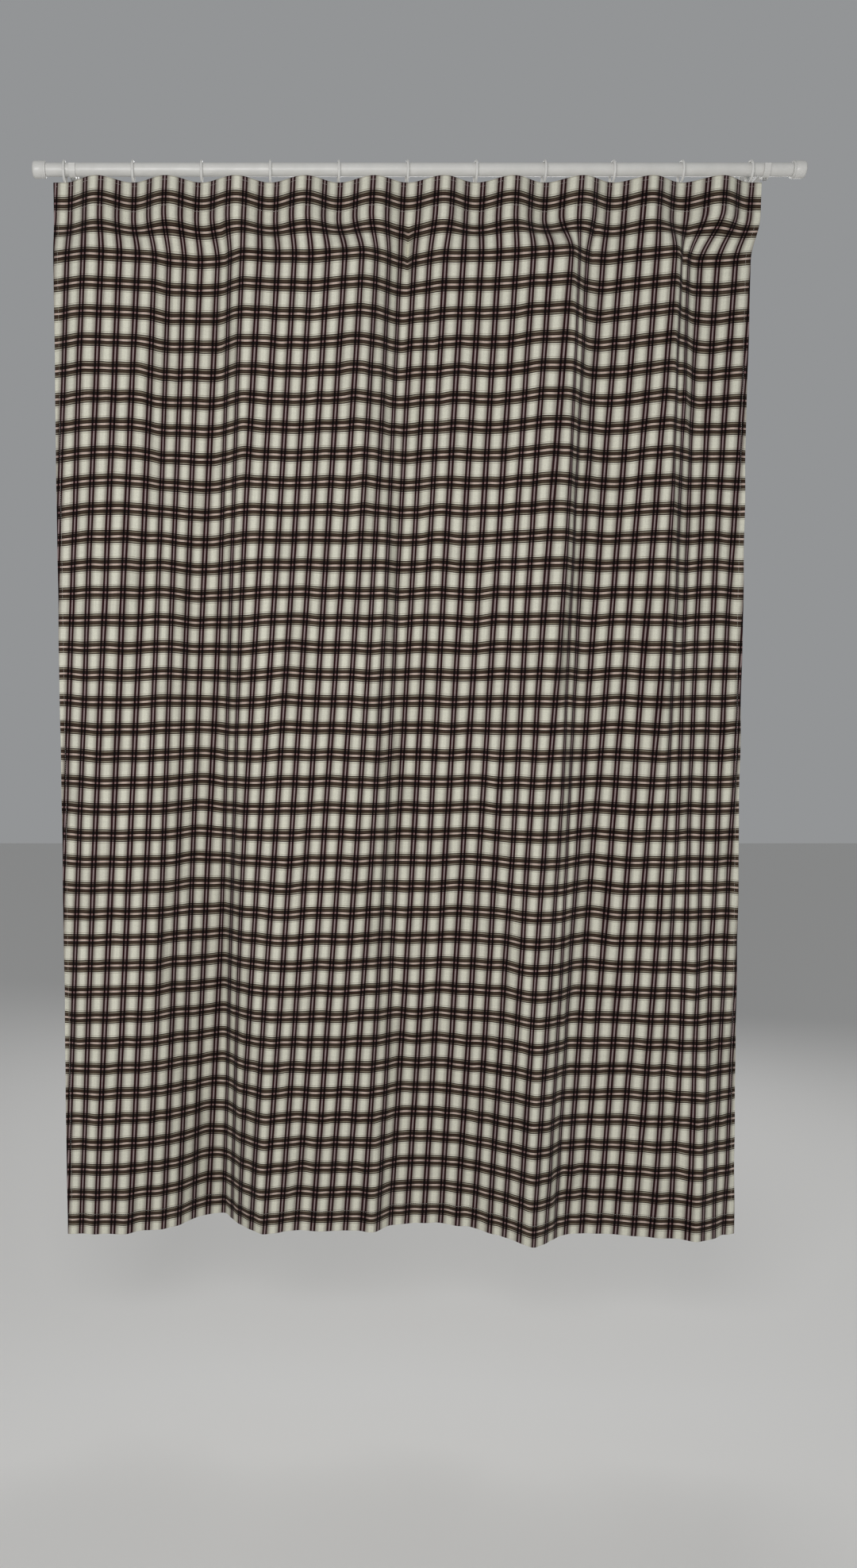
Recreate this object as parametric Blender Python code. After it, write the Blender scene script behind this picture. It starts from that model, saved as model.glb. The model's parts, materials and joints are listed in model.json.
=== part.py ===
"""Plaid room curtain hung by rings and pin hooks from a wall-mounted rod.

Metres, +Z up. +X runs along the rod, the wall is the plane Y = 0 and the room is at -Y.
The origin is the middle of the left bracket's wall face.
"""

import math

import bmesh
import bpy
from mathutils import Matrix, Vector

# Gap between pieces that touch on the real object
FIT_GAP = 0.0003

# Curtain: a flat cloth on hooks at an even spacing
HOOK_COUNT = 11
HOOK_SPACING = 0.1333
EDGE_BEYOND_HOOK = 0.0203
CURTAIN_DROP = 2.10
CLOTH_THICKNESS = 0.0012
TAPE_THICKNESS = 0.0012
TAPE_HEIGHT = 0.050
TAPE_BELOW_TOP = 0.006
TAPE_SHORT_OF_EDGE = 0.004

# How the cloth hangs: bows between the hooks, then long folds down to the hem. A fold is rounded
# over FOLD_ROUNDING of the flat cloth's width on each side.
HEADING_BOW = 0.034
FOLD_PLANE_FORWARD = 0.024
FOLDS_START = 0.15
FOLD_GROWTH = 1.3
FOLD_ROUNDING = 0.008
COLUMNS_PER_HOOK = 8
ROWS_INTO_FOLDS = 3
ROWS_DOWN_FOLDS = 4

# Every fold line from the left edge to the right edge. First its place on the flat cloth, then
# its place across the hung width and its depth in metres behind (+) or in front (-) of the
# curtain's plane, where the folds start, and the same two at the hem.
FOLD_LINES = (
    (0.000, 0.000, 0.006, 0.000, 0.000),
    (0.046, 0.048, -0.018, 0.047, -0.006),
    (0.124, 0.136, 0.001, 0.136, 0.017),
    (0.155, 0.163, 0.019, 0.167, 0.050),
    (0.196, 0.203, 0.034, 0.205, 0.105),
    (0.222, 0.233, 0.030, 0.235, 0.115),
    (0.267, 0.267, -0.013, 0.259, 0.046),
    (0.307, 0.313, -0.002, 0.294, -0.006),
    (0.357, 0.365, -0.002, 0.348, 0.017),
    (0.424, 0.436, -0.023, 0.423, 0.013),
    (0.457, 0.466, 0.000, 0.461, 0.008),
    (0.495, 0.495, 0.036, 0.497, 0.049),
    (0.553, 0.548, -0.006, 0.566, 0.059),
    (0.602, 0.603, -0.004, 0.619, 0.028),
    (0.642, 0.647, -0.012, 0.655, -0.016),
    (0.688, 0.693, -0.028, 0.692, -0.073),
    (0.714, 0.727, -0.035, 0.716, -0.049),
    (0.756, 0.749, -0.001, 0.750, -0.006),
    (0.782, 0.778, 0.011, 0.780, 0.006),
    (0.873, 0.874, -0.029, 0.883, -0.021),
    (0.892, 0.883, -0.006, 0.906, -0.023),
    (0.928, 0.908, 0.028, 0.944, -0.046),
    (1.000, 0.985, 0.012, 1.008, 0.004),
)

# Rod and its end caps
ROD_DIAMETER = 0.025
ROD_WALL = 0.0015
ROD_BEYOND_BRACKET = 0.052
CAP_DIAMETER = 0.032
CAP_LENGTH = 0.026
CAP_ROUNDING = 0.005
SPIGOT_LENGTH = 0.018

# Rings: a round ring with a small eye under it
RING_INNER_DIAMETER = 0.035
RING_WIRE = 0.0046
EYE_INNER_DIAMETER = 0.0052
EYE_WIRE = 0.0024
EYE_SUNK_IN_RING = 0.0012
FIXED_RING_OUTSIDE_BRACKET = 0.016
LEAD_RING_INSIDE_BRACKET = 0.030

# Pin hooks: bent wire, over the eye, down, and up again into the tape
HOOK_WIRE = 0.0018
HOOK_ARCH_RADIUS = 0.0035
HOOK_TIP_LENGTH = 0.007
HOOK_SHANK_LENGTH = 0.030
HOOK_TURN_RADIUS = 0.0022
HOOK_PIN_LENGTH = 0.024
CLOTH_TOP_ABOVE_EYE = 0.002

# Brackets: a wall plate, an arm and an open cup for the rod
BRACKET_PROJECTION = 0.100
PLATE_WIDTH = 0.030
PLATE_HEIGHT = 0.076
PLATE_THICKNESS = 0.004
PLATE_ROUNDING = 0.0012
ARM_WIDTH = 0.012
ARM_HEIGHT = 0.009
CUP_WALL = 0.004
CUP_ABOVE_ROD_CENTRE = 0.006

# Screws
WALL_SCREW_SPACING = 0.052
WALL_SCREW_SHANK = 0.0045
WALL_SCREW_HEAD = 0.0088
WALL_SCREW_HEAD_HEIGHT = 0.0022
WALL_SCREW_SLOT = 0.0012
LOCK_SCREW_DIAMETER = 0.004
LOCK_SCREW_HEAD = 0.0075
LOCK_SCREW_HEAD_HEIGHT = 0.003

# Facets
ROD_FACETS = 32
RING_FACETS = 24
WIRE_FACETS = 6
EYE_FACETS = 12
SCREW_FACETS = 20
ARC_STEPS = 6

# Places that follow from the sizes above
ROD_RADIUS = ROD_DIAMETER / 2
ROD_CENTRE_Y = -BRACKET_PROJECTION
CUP_INNER_RADIUS = ROD_RADIUS + FIT_GAP
CUP_OUTER_RADIUS = CUP_INNER_RADIUS + CUP_WALL
FIRST_HOOK_X = -FIXED_RING_OUTSIDE_BRACKET
LAST_HOOK_X = FIRST_HOOK_X + (HOOK_COUNT - 1) * HOOK_SPACING
RIGHT_BRACKET_X = LAST_HOOK_X + LEAD_RING_INSIDE_BRACKET
HUNG_WIDTH = (HOOK_COUNT - 1) * HOOK_SPACING + 2 * EDGE_BEYOND_HOOK
CURTAIN_LEFT_X = FIRST_HOOK_X - EDGE_BEYOND_HOOK
RING_RADIUS = (RING_INNER_DIAMETER + RING_WIRE) / 2
RING_CENTRE_Z = ROD_RADIUS + FIT_GAP - RING_INNER_DIAMETER / 2
EYE_RADIUS = (EYE_INNER_DIAMETER + EYE_WIRE) / 2
EYE_BELOW_RING = RING_RADIUS + RING_WIRE / 2 + EYE_RADIUS + EYE_WIRE / 2 - EYE_SUNK_IN_RING
EYE_CENTRE_Z = RING_CENTRE_Z - EYE_BELOW_RING
HOOK_ARCH_TOP_Z = -EYE_INNER_DIAMETER / 2 + FIT_GAP + HOOK_WIRE / 2
HOOK_PIN_Y = -HOOK_ARCH_RADIUS - 2 * HOOK_TURN_RADIUS
TAPE_BACK_Y = ROD_CENTRE_Y + HOOK_PIN_Y - HOOK_WIRE / 2 - FIT_GAP
CLOTH_Y = TAPE_BACK_Y - TAPE_THICKNESS - FIT_GAP - CLOTH_THICKNESS / 2
CLOTH_TOP_Z = EYE_CENTRE_Z + CLOTH_TOP_ABOVE_EYE
HEADING_HEIGHT = TAPE_BELOW_TOP + TAPE_HEIGHT + TAPE_BELOW_TOP


def clear_scene():
    """Remove whatever the opened file holds."""
    for obj in list(bpy.data.objects):
        bpy.data.objects.remove(obj, do_unlink=True)


def make_material(name, colour, roughness, metallic):
    """Return a plain Principled material."""
    material = bpy.data.materials.new(name)
    material.use_nodes = True
    shader = material.node_tree.nodes["Principled BSDF"]
    shader.inputs["Base Color"].default_value = (*colour, 1.0)
    shader.inputs["Roughness"].default_value = roughness
    shader.inputs["Metallic"].default_value = metallic
    return material


def place(name, data, material, location=(0.0, 0.0, 0.0)):
    """Add one named object that uses data, a mesh or a curve."""
    obj = bpy.data.objects.new(name, data)
    obj.location = location
    bpy.context.scene.collection.objects.link(obj)
    if not data.materials:
        data.materials.append(material)
    return obj


def mesh_from(name, vertices, faces):
    """Return a mesh of these vertices and faces, with its faces pointing out."""
    mesh = bpy.data.meshes.new(name)
    mesh.from_pydata(vertices, [], faces)
    work = bmesh.new()
    work.from_mesh(mesh)
    bmesh.ops.remove_doubles(work, verts=work.verts, dist=1e-7)
    bmesh.ops.recalc_face_normals(work, faces=work.faces)
    work.to_mesh(mesh)
    work.free()
    return mesh


def smooth_round(mesh, crease_degrees=35):
    """Shade a round piece smooth and keep its real edges sharp."""
    mesh.shade_smooth()
    mesh.set_sharp_from_angle(angle=math.radians(crease_degrees))


def turned_mesh(name, profile, facets, closed_profile=False):
    """Turn a profile of (x, radius) points about the X axis.

    An open profile starts and ends on the axis, and a closed one makes a hollow ring.
    """
    vertices = []
    faces = []
    for x, radius in profile:
        for step in range(facets):
            angle = 2 * math.pi * step / facets
            vertices.append((x, radius * math.sin(angle), radius * math.cos(angle)))
    spans = len(profile) if closed_profile else len(profile) - 1
    for span in range(spans):
        near = span * facets
        far = (span + 1) % len(profile) * facets
        for step in range(facets):
            after = (step + 1) % facets
            faces.append((near + step, near + after, far + after, far + step))
    mesh = mesh_from(name, vertices, faces)
    work = bmesh.new()
    work.from_mesh(mesh)
    bmesh.ops.dissolve_degenerate(work, edges=work.edges, dist=1e-7)
    bmesh.ops.recalc_face_normals(work, faces=work.faces)
    work.to_mesh(mesh)
    work.free()
    smooth_round(mesh)
    return mesh


def circle_profile(centre_radius, wire, facets):
    """Return a round wire's section at centre_radius from the axis."""
    points = []
    for step in range(facets):
        angle = 2 * math.pi * step / facets + math.pi
        points.append((wire / 2 * math.sin(angle), centre_radius + wire / 2 * math.cos(angle)))
    return points


def box_mesh(name, low, high):
    """Return a box between two corners."""
    vertices = [(x, y, z) for x in (low[0], high[0]) for y in (low[1], high[1]) for z in (low[2], high[2])]
    faces = [(0, 1, 3, 2), (4, 6, 7, 5), (0, 4, 5, 1), (2, 3, 7, 6), (0, 2, 6, 4), (1, 5, 7, 3)]
    return mesh_from(name, vertices, faces)


def prism_mesh(name, outline, thickness):
    """Extrude a closed (y, z) outline along X, half to each side."""
    count = len(outline)
    vertices = [(side * thickness / 2, y, z) for side in (-1, 1) for y, z in outline]
    faces = [tuple(range(count)), tuple(range(2 * count - 1, count - 1, -1))]
    for step in range(count):
        after = (step + 1) % count
        faces.append((step, after, count + after, count + step))
    return mesh_from(name, vertices, faces)


def combined_mesh(name, first, added=(), cut=()):
    """Join the added meshes to the first one, take the cut ones away and return one mesh."""
    base = bpy.data.objects.new(name, first)
    bpy.context.scene.collection.objects.link(base)
    tools = []
    for operation, meshes in (("UNION", added), ("DIFFERENCE", cut)):
        for mesh in meshes:
            tool = bpy.data.objects.new(mesh.name, mesh)
            bpy.context.scene.collection.objects.link(tool)
            modifier = base.modifiers.new(operation.title(), "BOOLEAN")
            modifier.operation = operation
            modifier.object = tool
            tools.append(tool)
    bpy.context.view_layer.update()
    evaluated = base.evaluated_get(bpy.context.evaluated_depsgraph_get())
    result = bpy.data.meshes.new_from_object(evaluated)
    result.name = name
    for obj in [base, *tools]:
        bpy.data.objects.remove(obj, do_unlink=True)
    return result


def moved(mesh, matrix):
    """Move a mesh's vertices and return the mesh."""
    mesh.transform(matrix)
    return mesh


def along(axis):
    """Return the turn that brings +X onto the named axis."""
    if axis == "Y":
        return Matrix.Rotation(math.radians(90), 4, "Z")
    return Matrix.Rotation(math.radians(-90), 4, "Y")


# ---------------------------------------------------------------- cloth


def straight_between_folds(share):
    """Read the four fold values at a share of the flat cloth's width, straight between the folds."""
    span = 0
    while span < len(FOLD_LINES) - 2 and share > FOLD_LINES[span + 1][0]:
        span += 1
    start, end = FOLD_LINES[span], FOLD_LINES[span + 1]
    part = (share - start[0]) / (end[0] - start[0])
    return [low + (high - low) * part for low, high in zip(start[1:], end[1:])]


def fold_line_values(share):
    """Read the four fold values at a share of the flat cloth's width, with every fold rounded."""
    offsets = [FOLD_ROUNDING * step / 4 for step in range(-4, 5)]
    read = [straight_between_folds(share + offset) for offset in offsets]
    return [sum(values) / len(read) for values in zip(*read)]


def heading_depth(across):
    """Return how far forward the cloth bows at a place across the hung width."""
    past_hook = (across - EDGE_BEYOND_HOOK) / HOOK_SPACING
    if past_hook < 0 or past_hook > HOOK_COUNT - 1:
        return 0.0
    return -HEADING_BOW * math.sin(math.pi * past_hook) ** 2


def cloth_point(share, below_top):
    """Return the middle of the cloth, seen from above, at a share of its width and a height."""
    across = share * HUNG_WIDTH
    heading = Vector((CURTAIN_LEFT_X + across, CLOTH_Y + heading_depth(across)))
    start_x, start_y, hem_x, hem_y = fold_line_values(share)
    down = max(0.0, (below_top - FOLDS_START) / (CURTAIN_DROP - FOLDS_START))
    grown = down**FOLD_GROWTH
    x = start_x + (hem_x - start_x) * grown
    y = start_y + (hem_y - start_y) * grown
    folded = Vector((CURTAIN_LEFT_X + x * HUNG_WIDTH, CLOTH_Y - FOLD_PLANE_FORWARD + y))
    into = (below_top - HEADING_HEIGHT) / (FOLDS_START - HEADING_HEIGHT)
    into = min(max(into, 0.0), 1.0)
    return heading.lerp(folded, into * into * (3 - 2 * into))


def cloth_columns(short_of_edge):
    """Return the shares of the width that get a column: both edges and even steps of the hooks."""
    steps = (HOOK_COUNT - 1) * COLUMNS_PER_HOOK
    inner = [EDGE_BEYOND_HOOK + step * HOOK_SPACING / COLUMNS_PER_HOOK for step in range(steps + 1)]
    places = [short_of_edge, *inner, HUNG_WIDTH - short_of_edge]
    return [place_across / HUNG_WIDTH for place_across in places]


def hung_sheet(name, columns, rows, front, back):
    """Return a closed sheet that follows the cloth between two offsets behind its middle."""
    vertices = []
    for below_top in rows:
        line = [cloth_point(share, below_top) for share in columns]
        for index, point in enumerate(line):
            before = line[max(index - 1, 0)]
            after = line[min(index + 1, len(line) - 1)]
            direction = (after - before).normalized()
            behind = Vector((-direction.y, direction.x))
            for offset in (front, back):
                edge = point + behind * offset
                vertices.append((edge.x, edge.y, CLOTH_TOP_Z - below_top))
    width = len(columns)
    faces = []

    def corner(row, column, side):
        return (row * width + column) * 2 + side

    for row in range(len(rows) - 1):
        for column in range(width - 1):
            for side in (0, 1):
                faces.append(
                    (
                        corner(row, column, side),
                        corner(row, column + 1, side),
                        corner(row + 1, column + 1, side),
                        corner(row + 1, column, side),
                    )
                )
        for column in (0, width - 1):
            faces.append(
                (
                    corner(row, column, 0),
                    corner(row, column, 1),
                    corner(row + 1, column, 1),
                    corner(row + 1, column, 0),
                )
            )
    for row in (0, len(rows) - 1):
        for column in range(width - 1):
            faces.append(
                (
                    corner(row, column, 0),
                    corner(row, column + 1, 0),
                    corner(row, column + 1, 1),
                    corner(row, column, 1),
                )
            )
    return mesh_from(name, vertices, faces)


def make_curtain(cloth_material, tape_material):
    """Make the cloth and the tape sewn behind its top edge."""
    into_folds = (FOLDS_START - HEADING_HEIGHT) / ROWS_INTO_FOLDS
    down_folds = (CURTAIN_DROP - FOLDS_START) / ROWS_DOWN_FOLDS
    rows = [0.0]
    rows += [HEADING_HEIGHT + step * into_folds for step in range(ROWS_INTO_FOLDS)]
    rows += [FOLDS_START + step * down_folds for step in range(ROWS_DOWN_FOLDS + 1)]
    half = CLOTH_THICKNESS / 2
    cloth = hung_sheet("curtain_cloth", cloth_columns(0.0), rows, -half, half)
    smooth_round(cloth, 60)
    place("curtain_cloth", cloth, cloth_material)
    tape_rows = [TAPE_BELOW_TOP, TAPE_BELOW_TOP + TAPE_HEIGHT]
    tape_front = half + FIT_GAP
    tape = hung_sheet(
        "heading_tape", cloth_columns(TAPE_SHORT_OF_EDGE), tape_rows, tape_front, tape_front + TAPE_THICKNESS
    )
    smooth_round(tape, 60)
    place("heading_tape", tape, tape_material)


# ---------------------------------------------------------------- rings and hooks


def ring_mesh():
    """Return the ring, centred on its own axis, with the eye under it."""
    hoop = turned_mesh("ring", circle_profile(RING_RADIUS, RING_WIRE, WIRE_FACETS), RING_FACETS, True)
    eye = turned_mesh("eye", circle_profile(EYE_RADIUS, EYE_WIRE, WIRE_FACETS), EYE_FACETS, True)
    eye = moved(eye, Matrix.Translation((0, 0, -EYE_BELOW_RING)) @ along("Y"))
    mesh = combined_mesh("curtain_ring", hoop, added=[eye])
    smooth_round(mesh)
    return mesh


def arc_points(centre, radius, start_degrees, end_degrees, steps):
    """Return (y, z) points on an arc, its two ends included."""
    points = []
    for step in range(steps + 1):
        angle = math.radians(start_degrees + (end_degrees - start_degrees) * step / steps)
        points.append((centre[0] + radius * math.cos(angle), centre[1] + radius * math.sin(angle)))
    return points


def hook_curve():
    """Return the bent wire of one hook, around the middle of the ring's eye."""
    arch_z = HOOK_ARCH_TOP_Z - HOOK_ARCH_RADIUS
    turn_z = arch_z - HOOK_SHANK_LENGTH
    path = [(HOOK_ARCH_RADIUS, arch_z - HOOK_TIP_LENGTH)]
    path += arc_points((0.0, arch_z), HOOK_ARCH_RADIUS, 0, 180, ARC_STEPS)
    turn_centre = (-HOOK_ARCH_RADIUS - HOOK_TURN_RADIUS, turn_z)
    path += arc_points(turn_centre, HOOK_TURN_RADIUS, 0, -180, ARC_STEPS)
    path.append((HOOK_PIN_Y, turn_z + HOOK_PIN_LENGTH))
    curve = bpy.data.curves.new("pin_hook", "CURVE")
    curve.dimensions = "3D"
    curve.bevel_depth = HOOK_WIRE / 2
    curve.bevel_resolution = 1
    curve.use_fill_caps = True
    spline = curve.splines.new("POLY")
    spline.points.add(len(path) - 1)
    for point, (y, z) in zip(spline.points, path):
        point.co = (0.0, y, z, 1.0)
    return curve


def make_rings_and_hooks(ring_material, wire_material):
    """Hang one ring and one hook at each hook place."""
    ring = ring_mesh()
    hook = hook_curve()
    for index in range(HOOK_COUNT):
        x = FIRST_HOOK_X + index * HOOK_SPACING
        place(f"ring_{index + 1:02d}", ring, ring_material, (x, ROD_CENTRE_Y, RING_CENTRE_Z))
        place(f"hook_{index + 1:02d}", hook, wire_material, (x, ROD_CENTRE_Y, EYE_CENTRE_Z))


# ---------------------------------------------------------------- rod and caps


def make_rod(material):
    """Make the tube, with its left end at the local origin."""
    length = RIGHT_BRACKET_X + 2 * ROD_BEYOND_BRACKET
    inner = ROD_RADIUS - ROD_WALL
    profile = [(0.0, inner), (0.0, ROD_RADIUS), (length, ROD_RADIUS), (length, inner)]
    tube = turned_mesh("rod_tube", profile, ROD_FACETS, True)
    place("rod_tube", tube, material, (-ROD_BEYOND_BRACKET, ROD_CENTRE_Y, 0.0))


def cap_mesh():
    """Return an end cap that points along +X, with its spigot behind it."""
    spigot_radius = ROD_RADIUS - ROD_WALL - FIT_GAP
    cap_radius = CAP_DIAMETER / 2
    profile = [(-SPIGOT_LENGTH, 0.0), (-SPIGOT_LENGTH, spigot_radius), (FIT_GAP, spigot_radius)]
    profile += [(FIT_GAP, cap_radius - FIT_GAP), (2 * FIT_GAP, cap_radius)]
    corner = (CAP_LENGTH - CAP_ROUNDING, cap_radius - CAP_ROUNDING)
    profile += arc_points(corner, CAP_ROUNDING, 90, 0, ARC_STEPS)
    profile.append((CAP_LENGTH, 0.0))
    return turned_mesh("end_cap", profile, ROD_FACETS)


def make_caps(material):
    """Put a cap in each end of the rod."""
    cap = cap_mesh()
    right = place("end_cap_right", cap, material)
    right.location = (RIGHT_BRACKET_X + ROD_BEYOND_BRACKET, ROD_CENTRE_Y, 0.0)
    left = place("end_cap_left", cap, material)
    left.location = (-ROD_BEYOND_BRACKET, ROD_CENTRE_Y, 0.0)
    left.rotation_euler = (0.0, 0.0, math.pi)


# ---------------------------------------------------------------- brackets and screws


def cup_outline():
    """Return the (y, z) outline of the open cup around the rod's centre."""
    outer = arc_points((0.0, 0.0), CUP_OUTER_RADIUS, -180, 0, 2 * ARC_STEPS)
    inner = arc_points((0.0, 0.0), CUP_INNER_RADIUS, 0, -180, 2 * ARC_STEPS)
    top = CUP_ABOVE_ROD_CENTRE
    outline = [(-CUP_OUTER_RADIUS, top), *outer, (CUP_OUTER_RADIUS, top)]
    outline += [(CUP_INNER_RADIUS, top), *inner, (-CUP_INNER_RADIUS, top)]
    return outline


def plate_mesh():
    """Return the wall plate with softly rounded front edges and its back on Y = 0."""
    low = (-PLATE_WIDTH / 2, -PLATE_THICKNESS, -PLATE_HEIGHT / 2)
    high = (PLATE_WIDTH / 2, 0.0, PLATE_HEIGHT / 2)
    mesh = box_mesh("wall_plate", low, high)
    work = bmesh.new()
    work.from_mesh(mesh)
    front = [edge for edge in work.edges if all(vert.co.y < -PLATE_THICKNESS / 2 for vert in edge.verts)]
    bmesh.ops.bevel(work, geom=front, offset=PLATE_ROUNDING, segments=2, affect="EDGES")
    work.to_mesh(mesh)
    work.free()
    return mesh


def wall_screw_profile(grown):
    """Return the screw's (x, radius) profile, its head's face at x = 0, made larger by grown."""
    head = WALL_SCREW_HEAD / 2 + grown
    shank = WALL_SCREW_SHANK / 2 + grown
    cone_end = WALL_SCREW_HEAD_HEIGHT + grown
    return [(0.0, 0.0), (0.0, head), (cone_end, shank), (PLATE_THICKNESS, shank), (PLATE_THICKNESS, 0.0)]


def stretched(profile, extra):
    """Return a profile whose two flat ends are pushed out, so that a cut runs past both faces."""
    first = [(profile[0][0] - extra, 0.0), (profile[1][0] - extra, profile[1][1])]
    last = [(profile[-2][0] + extra, profile[-2][1]), (profile[-1][0] + extra, 0.0)]
    return [*first, profile[1], *profile[2:-2], *last]


def bracket_mesh():
    """Return one bracket, with the middle of its wall face at the origin."""
    arm_end = ROD_CENTRE_Y + CUP_INNER_RADIUS + CUP_WALL / 2
    plate_middle = -PLATE_THICKNESS / 2
    arm = box_mesh("arm", (-ARM_WIDTH / 2, arm_end, -ARM_HEIGHT / 2), (ARM_WIDTH / 2, plate_middle, ARM_HEIGHT / 2))
    cup = moved(prism_mesh("cup", cup_outline(), ARM_WIDTH), Matrix.Translation((0, ROD_CENTRE_Y, 0)))
    holes = []
    for side in (-1, 1):
        hole = turned_mesh("screw_hole", stretched(wall_screw_profile(FIT_GAP), FIT_GAP), SCREW_FACETS)
        spot = Matrix.Translation((0, -PLATE_THICKNESS, side * WALL_SCREW_SPACING / 2))
        holes.append(moved(hole, spot @ along("Y")))
    lock_radius = LOCK_SCREW_DIAMETER / 2 + FIT_GAP
    lock_length = 2 * CUP_WALL
    lock_profile = [(0.0, 0.0), (0.0, lock_radius), (lock_length, lock_radius), (lock_length, 0.0)]
    lock_hole = turned_mesh("lock_hole", lock_profile, SCREW_FACETS)
    lock_spot = Matrix.Translation((0, ROD_CENTRE_Y, -CUP_OUTER_RADIUS - CUP_WALL / 2))
    holes.append(moved(lock_hole, lock_spot @ along("Z")))
    mesh = combined_mesh("bracket", plate_mesh(), added=[arm, cup], cut=holes)
    smooth_round(mesh)
    return mesh


def wall_screw_mesh():
    """Return a countersunk screw that points along +Y, its slotted head at the origin."""
    screw = moved(turned_mesh("wall_screw", wall_screw_profile(0.0), SCREW_FACETS), along("Y"))
    half = WALL_SCREW_SLOT / 2
    reach = WALL_SCREW_HEAD
    slot = box_mesh("slot", (-reach, -WALL_SCREW_SLOT, -half), (reach, WALL_SCREW_SLOT, half))
    mesh = combined_mesh("wall_screw", screw, cut=[slot])
    smooth_round(mesh)
    return mesh


def lock_screw_mesh():
    """Return a lock screw that points up from its round head, its tip at the origin."""
    shank = LOCK_SCREW_DIAMETER / 2
    head = LOCK_SCREW_HEAD / 2
    under_head = CUP_WALL + FIT_GAP
    bottom = under_head + LOCK_SCREW_HEAD_HEIGHT
    profile = [(0.0, 0.0), (0.0, shank), (-under_head, shank), (-under_head, head)]
    profile += [(-bottom, head), (-bottom, 0.0)]
    screw = moved(turned_mesh("lock_screw", profile, SCREW_FACETS), along("Z"))
    half = WALL_SCREW_SLOT / 2
    low = (-LOCK_SCREW_HEAD, -half, -bottom - WALL_SCREW_SLOT)
    slot = box_mesh("slot", low, (LOCK_SCREW_HEAD, half, -bottom + WALL_SCREW_SLOT))
    mesh = combined_mesh("lock_screw", screw, cut=[slot])
    smooth_round(mesh)
    return mesh


def make_brackets(bracket_material, screw_material):
    """Fix both brackets, each with its wall screws and the screw that locks the rod."""
    bracket = bracket_mesh()
    wall_screw = wall_screw_mesh()
    lock_screw = lock_screw_mesh()
    for side, x in (("left", 0.0), ("right", RIGHT_BRACKET_X)):
        place(f"bracket_{side}", bracket, bracket_material, (x, 0.0, 0.0))
        for end, z in (("top", WALL_SCREW_SPACING / 2), ("bottom", -WALL_SCREW_SPACING / 2)):
            place(f"wall_screw_{side}_{end}", wall_screw, screw_material, (x, -PLATE_THICKNESS, z))
        tip_z = -ROD_RADIUS - FIT_GAP
        place(f"lock_screw_{side}", lock_screw, screw_material, (x, ROD_CENTRE_Y, tip_z))


def main():
    """Build the whole curtain."""
    clear_scene()
    white_paint = make_material("white_paint", (0.82, 0.81, 0.78), 0.45, 0.0)
    ring_plastic = make_material("ring_plastic", (0.84, 0.83, 0.80), 0.35, 0.0)
    zinc = make_material("zinc_wire", (0.62, 0.62, 0.60), 0.35, 1.0)
    plaid = make_material("plaid_cloth", (0.52, 0.49, 0.42), 0.9, 0.0)
    tape = make_material("white_tape", (0.86, 0.85, 0.82), 0.9, 0.0)
    make_rod(white_paint)
    make_caps(white_paint)
    make_brackets(white_paint, zinc)
    make_rings_and_hooks(ring_plastic, zinc)
    make_curtain(plaid, tape)


main()
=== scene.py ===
"""Looks of the plaid curtain panel: woven cloth, hems, stitching, tape and painted hardware."""

import json
import math

import bpy
import numpy as np
from bpy.props import FloatProperty, FloatVectorProperty, PointerProperty
from bpy.types import Operator, Panel, PropertyGroup
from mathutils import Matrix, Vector


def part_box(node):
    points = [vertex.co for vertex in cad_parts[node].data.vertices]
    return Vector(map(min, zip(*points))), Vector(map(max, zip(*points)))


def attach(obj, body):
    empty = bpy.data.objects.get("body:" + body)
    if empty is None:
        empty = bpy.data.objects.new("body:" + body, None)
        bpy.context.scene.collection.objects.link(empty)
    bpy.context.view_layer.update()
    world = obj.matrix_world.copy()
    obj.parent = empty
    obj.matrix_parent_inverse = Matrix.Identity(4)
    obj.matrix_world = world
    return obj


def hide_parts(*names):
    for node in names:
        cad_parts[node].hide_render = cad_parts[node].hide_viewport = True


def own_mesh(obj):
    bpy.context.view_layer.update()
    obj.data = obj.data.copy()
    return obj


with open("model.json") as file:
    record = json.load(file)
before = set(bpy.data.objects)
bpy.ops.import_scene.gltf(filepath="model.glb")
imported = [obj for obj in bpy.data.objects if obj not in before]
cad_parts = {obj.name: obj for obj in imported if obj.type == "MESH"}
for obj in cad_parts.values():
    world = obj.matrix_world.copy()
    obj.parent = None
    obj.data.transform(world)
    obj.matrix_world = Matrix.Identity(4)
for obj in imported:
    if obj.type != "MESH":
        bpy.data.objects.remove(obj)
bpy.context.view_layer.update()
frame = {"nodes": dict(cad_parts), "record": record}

bl_info = {
    "name": "Plaid curtain panel",
    "version": (1, 0, 0),
    "blender": (4, 5, 0),
    "location": "View3D > Sidebar > Curtain",
    "description": "Builds the cloth, hems, stitching, tape and hardware finishes of a plaid curtain",
    "category": "Object",
}

# Places read from the frame
CLOTH_LOW, CLOTH_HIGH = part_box("curtain_cloth")
TAPE_LOW, TAPE_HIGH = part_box("heading_tape")
ROD_LOW, ROD_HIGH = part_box("rod_tube")
HOOK_BOXES = [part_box(f"hook_{index:02d}") for index in range(1, 12)]
HOOK_XS = [(low[0] + high[0]) / 2 for low, high in HOOK_BOXES]
HOOK_COUNT = len(HOOK_XS)
HOOK_SPACING = (HOOK_XS[-1] - HOOK_XS[0]) / (HOOK_COUNT - 1)
EDGE_BEYOND_HOOK = 0.0203
HEADING_LEFT_X = HOOK_XS[0] - EDGE_BEYOND_HOOK
HUNG_WIDTH = HOOK_XS[-1] - HOOK_XS[0] + 2 * EDGE_BEYOND_HOOK
DROP = CLOTH_HIGH[2] - CLOTH_LOW[2]
TAPE_BELOW_TOP = CLOTH_HIGH[2] - TAPE_HIGH[2]
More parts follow.
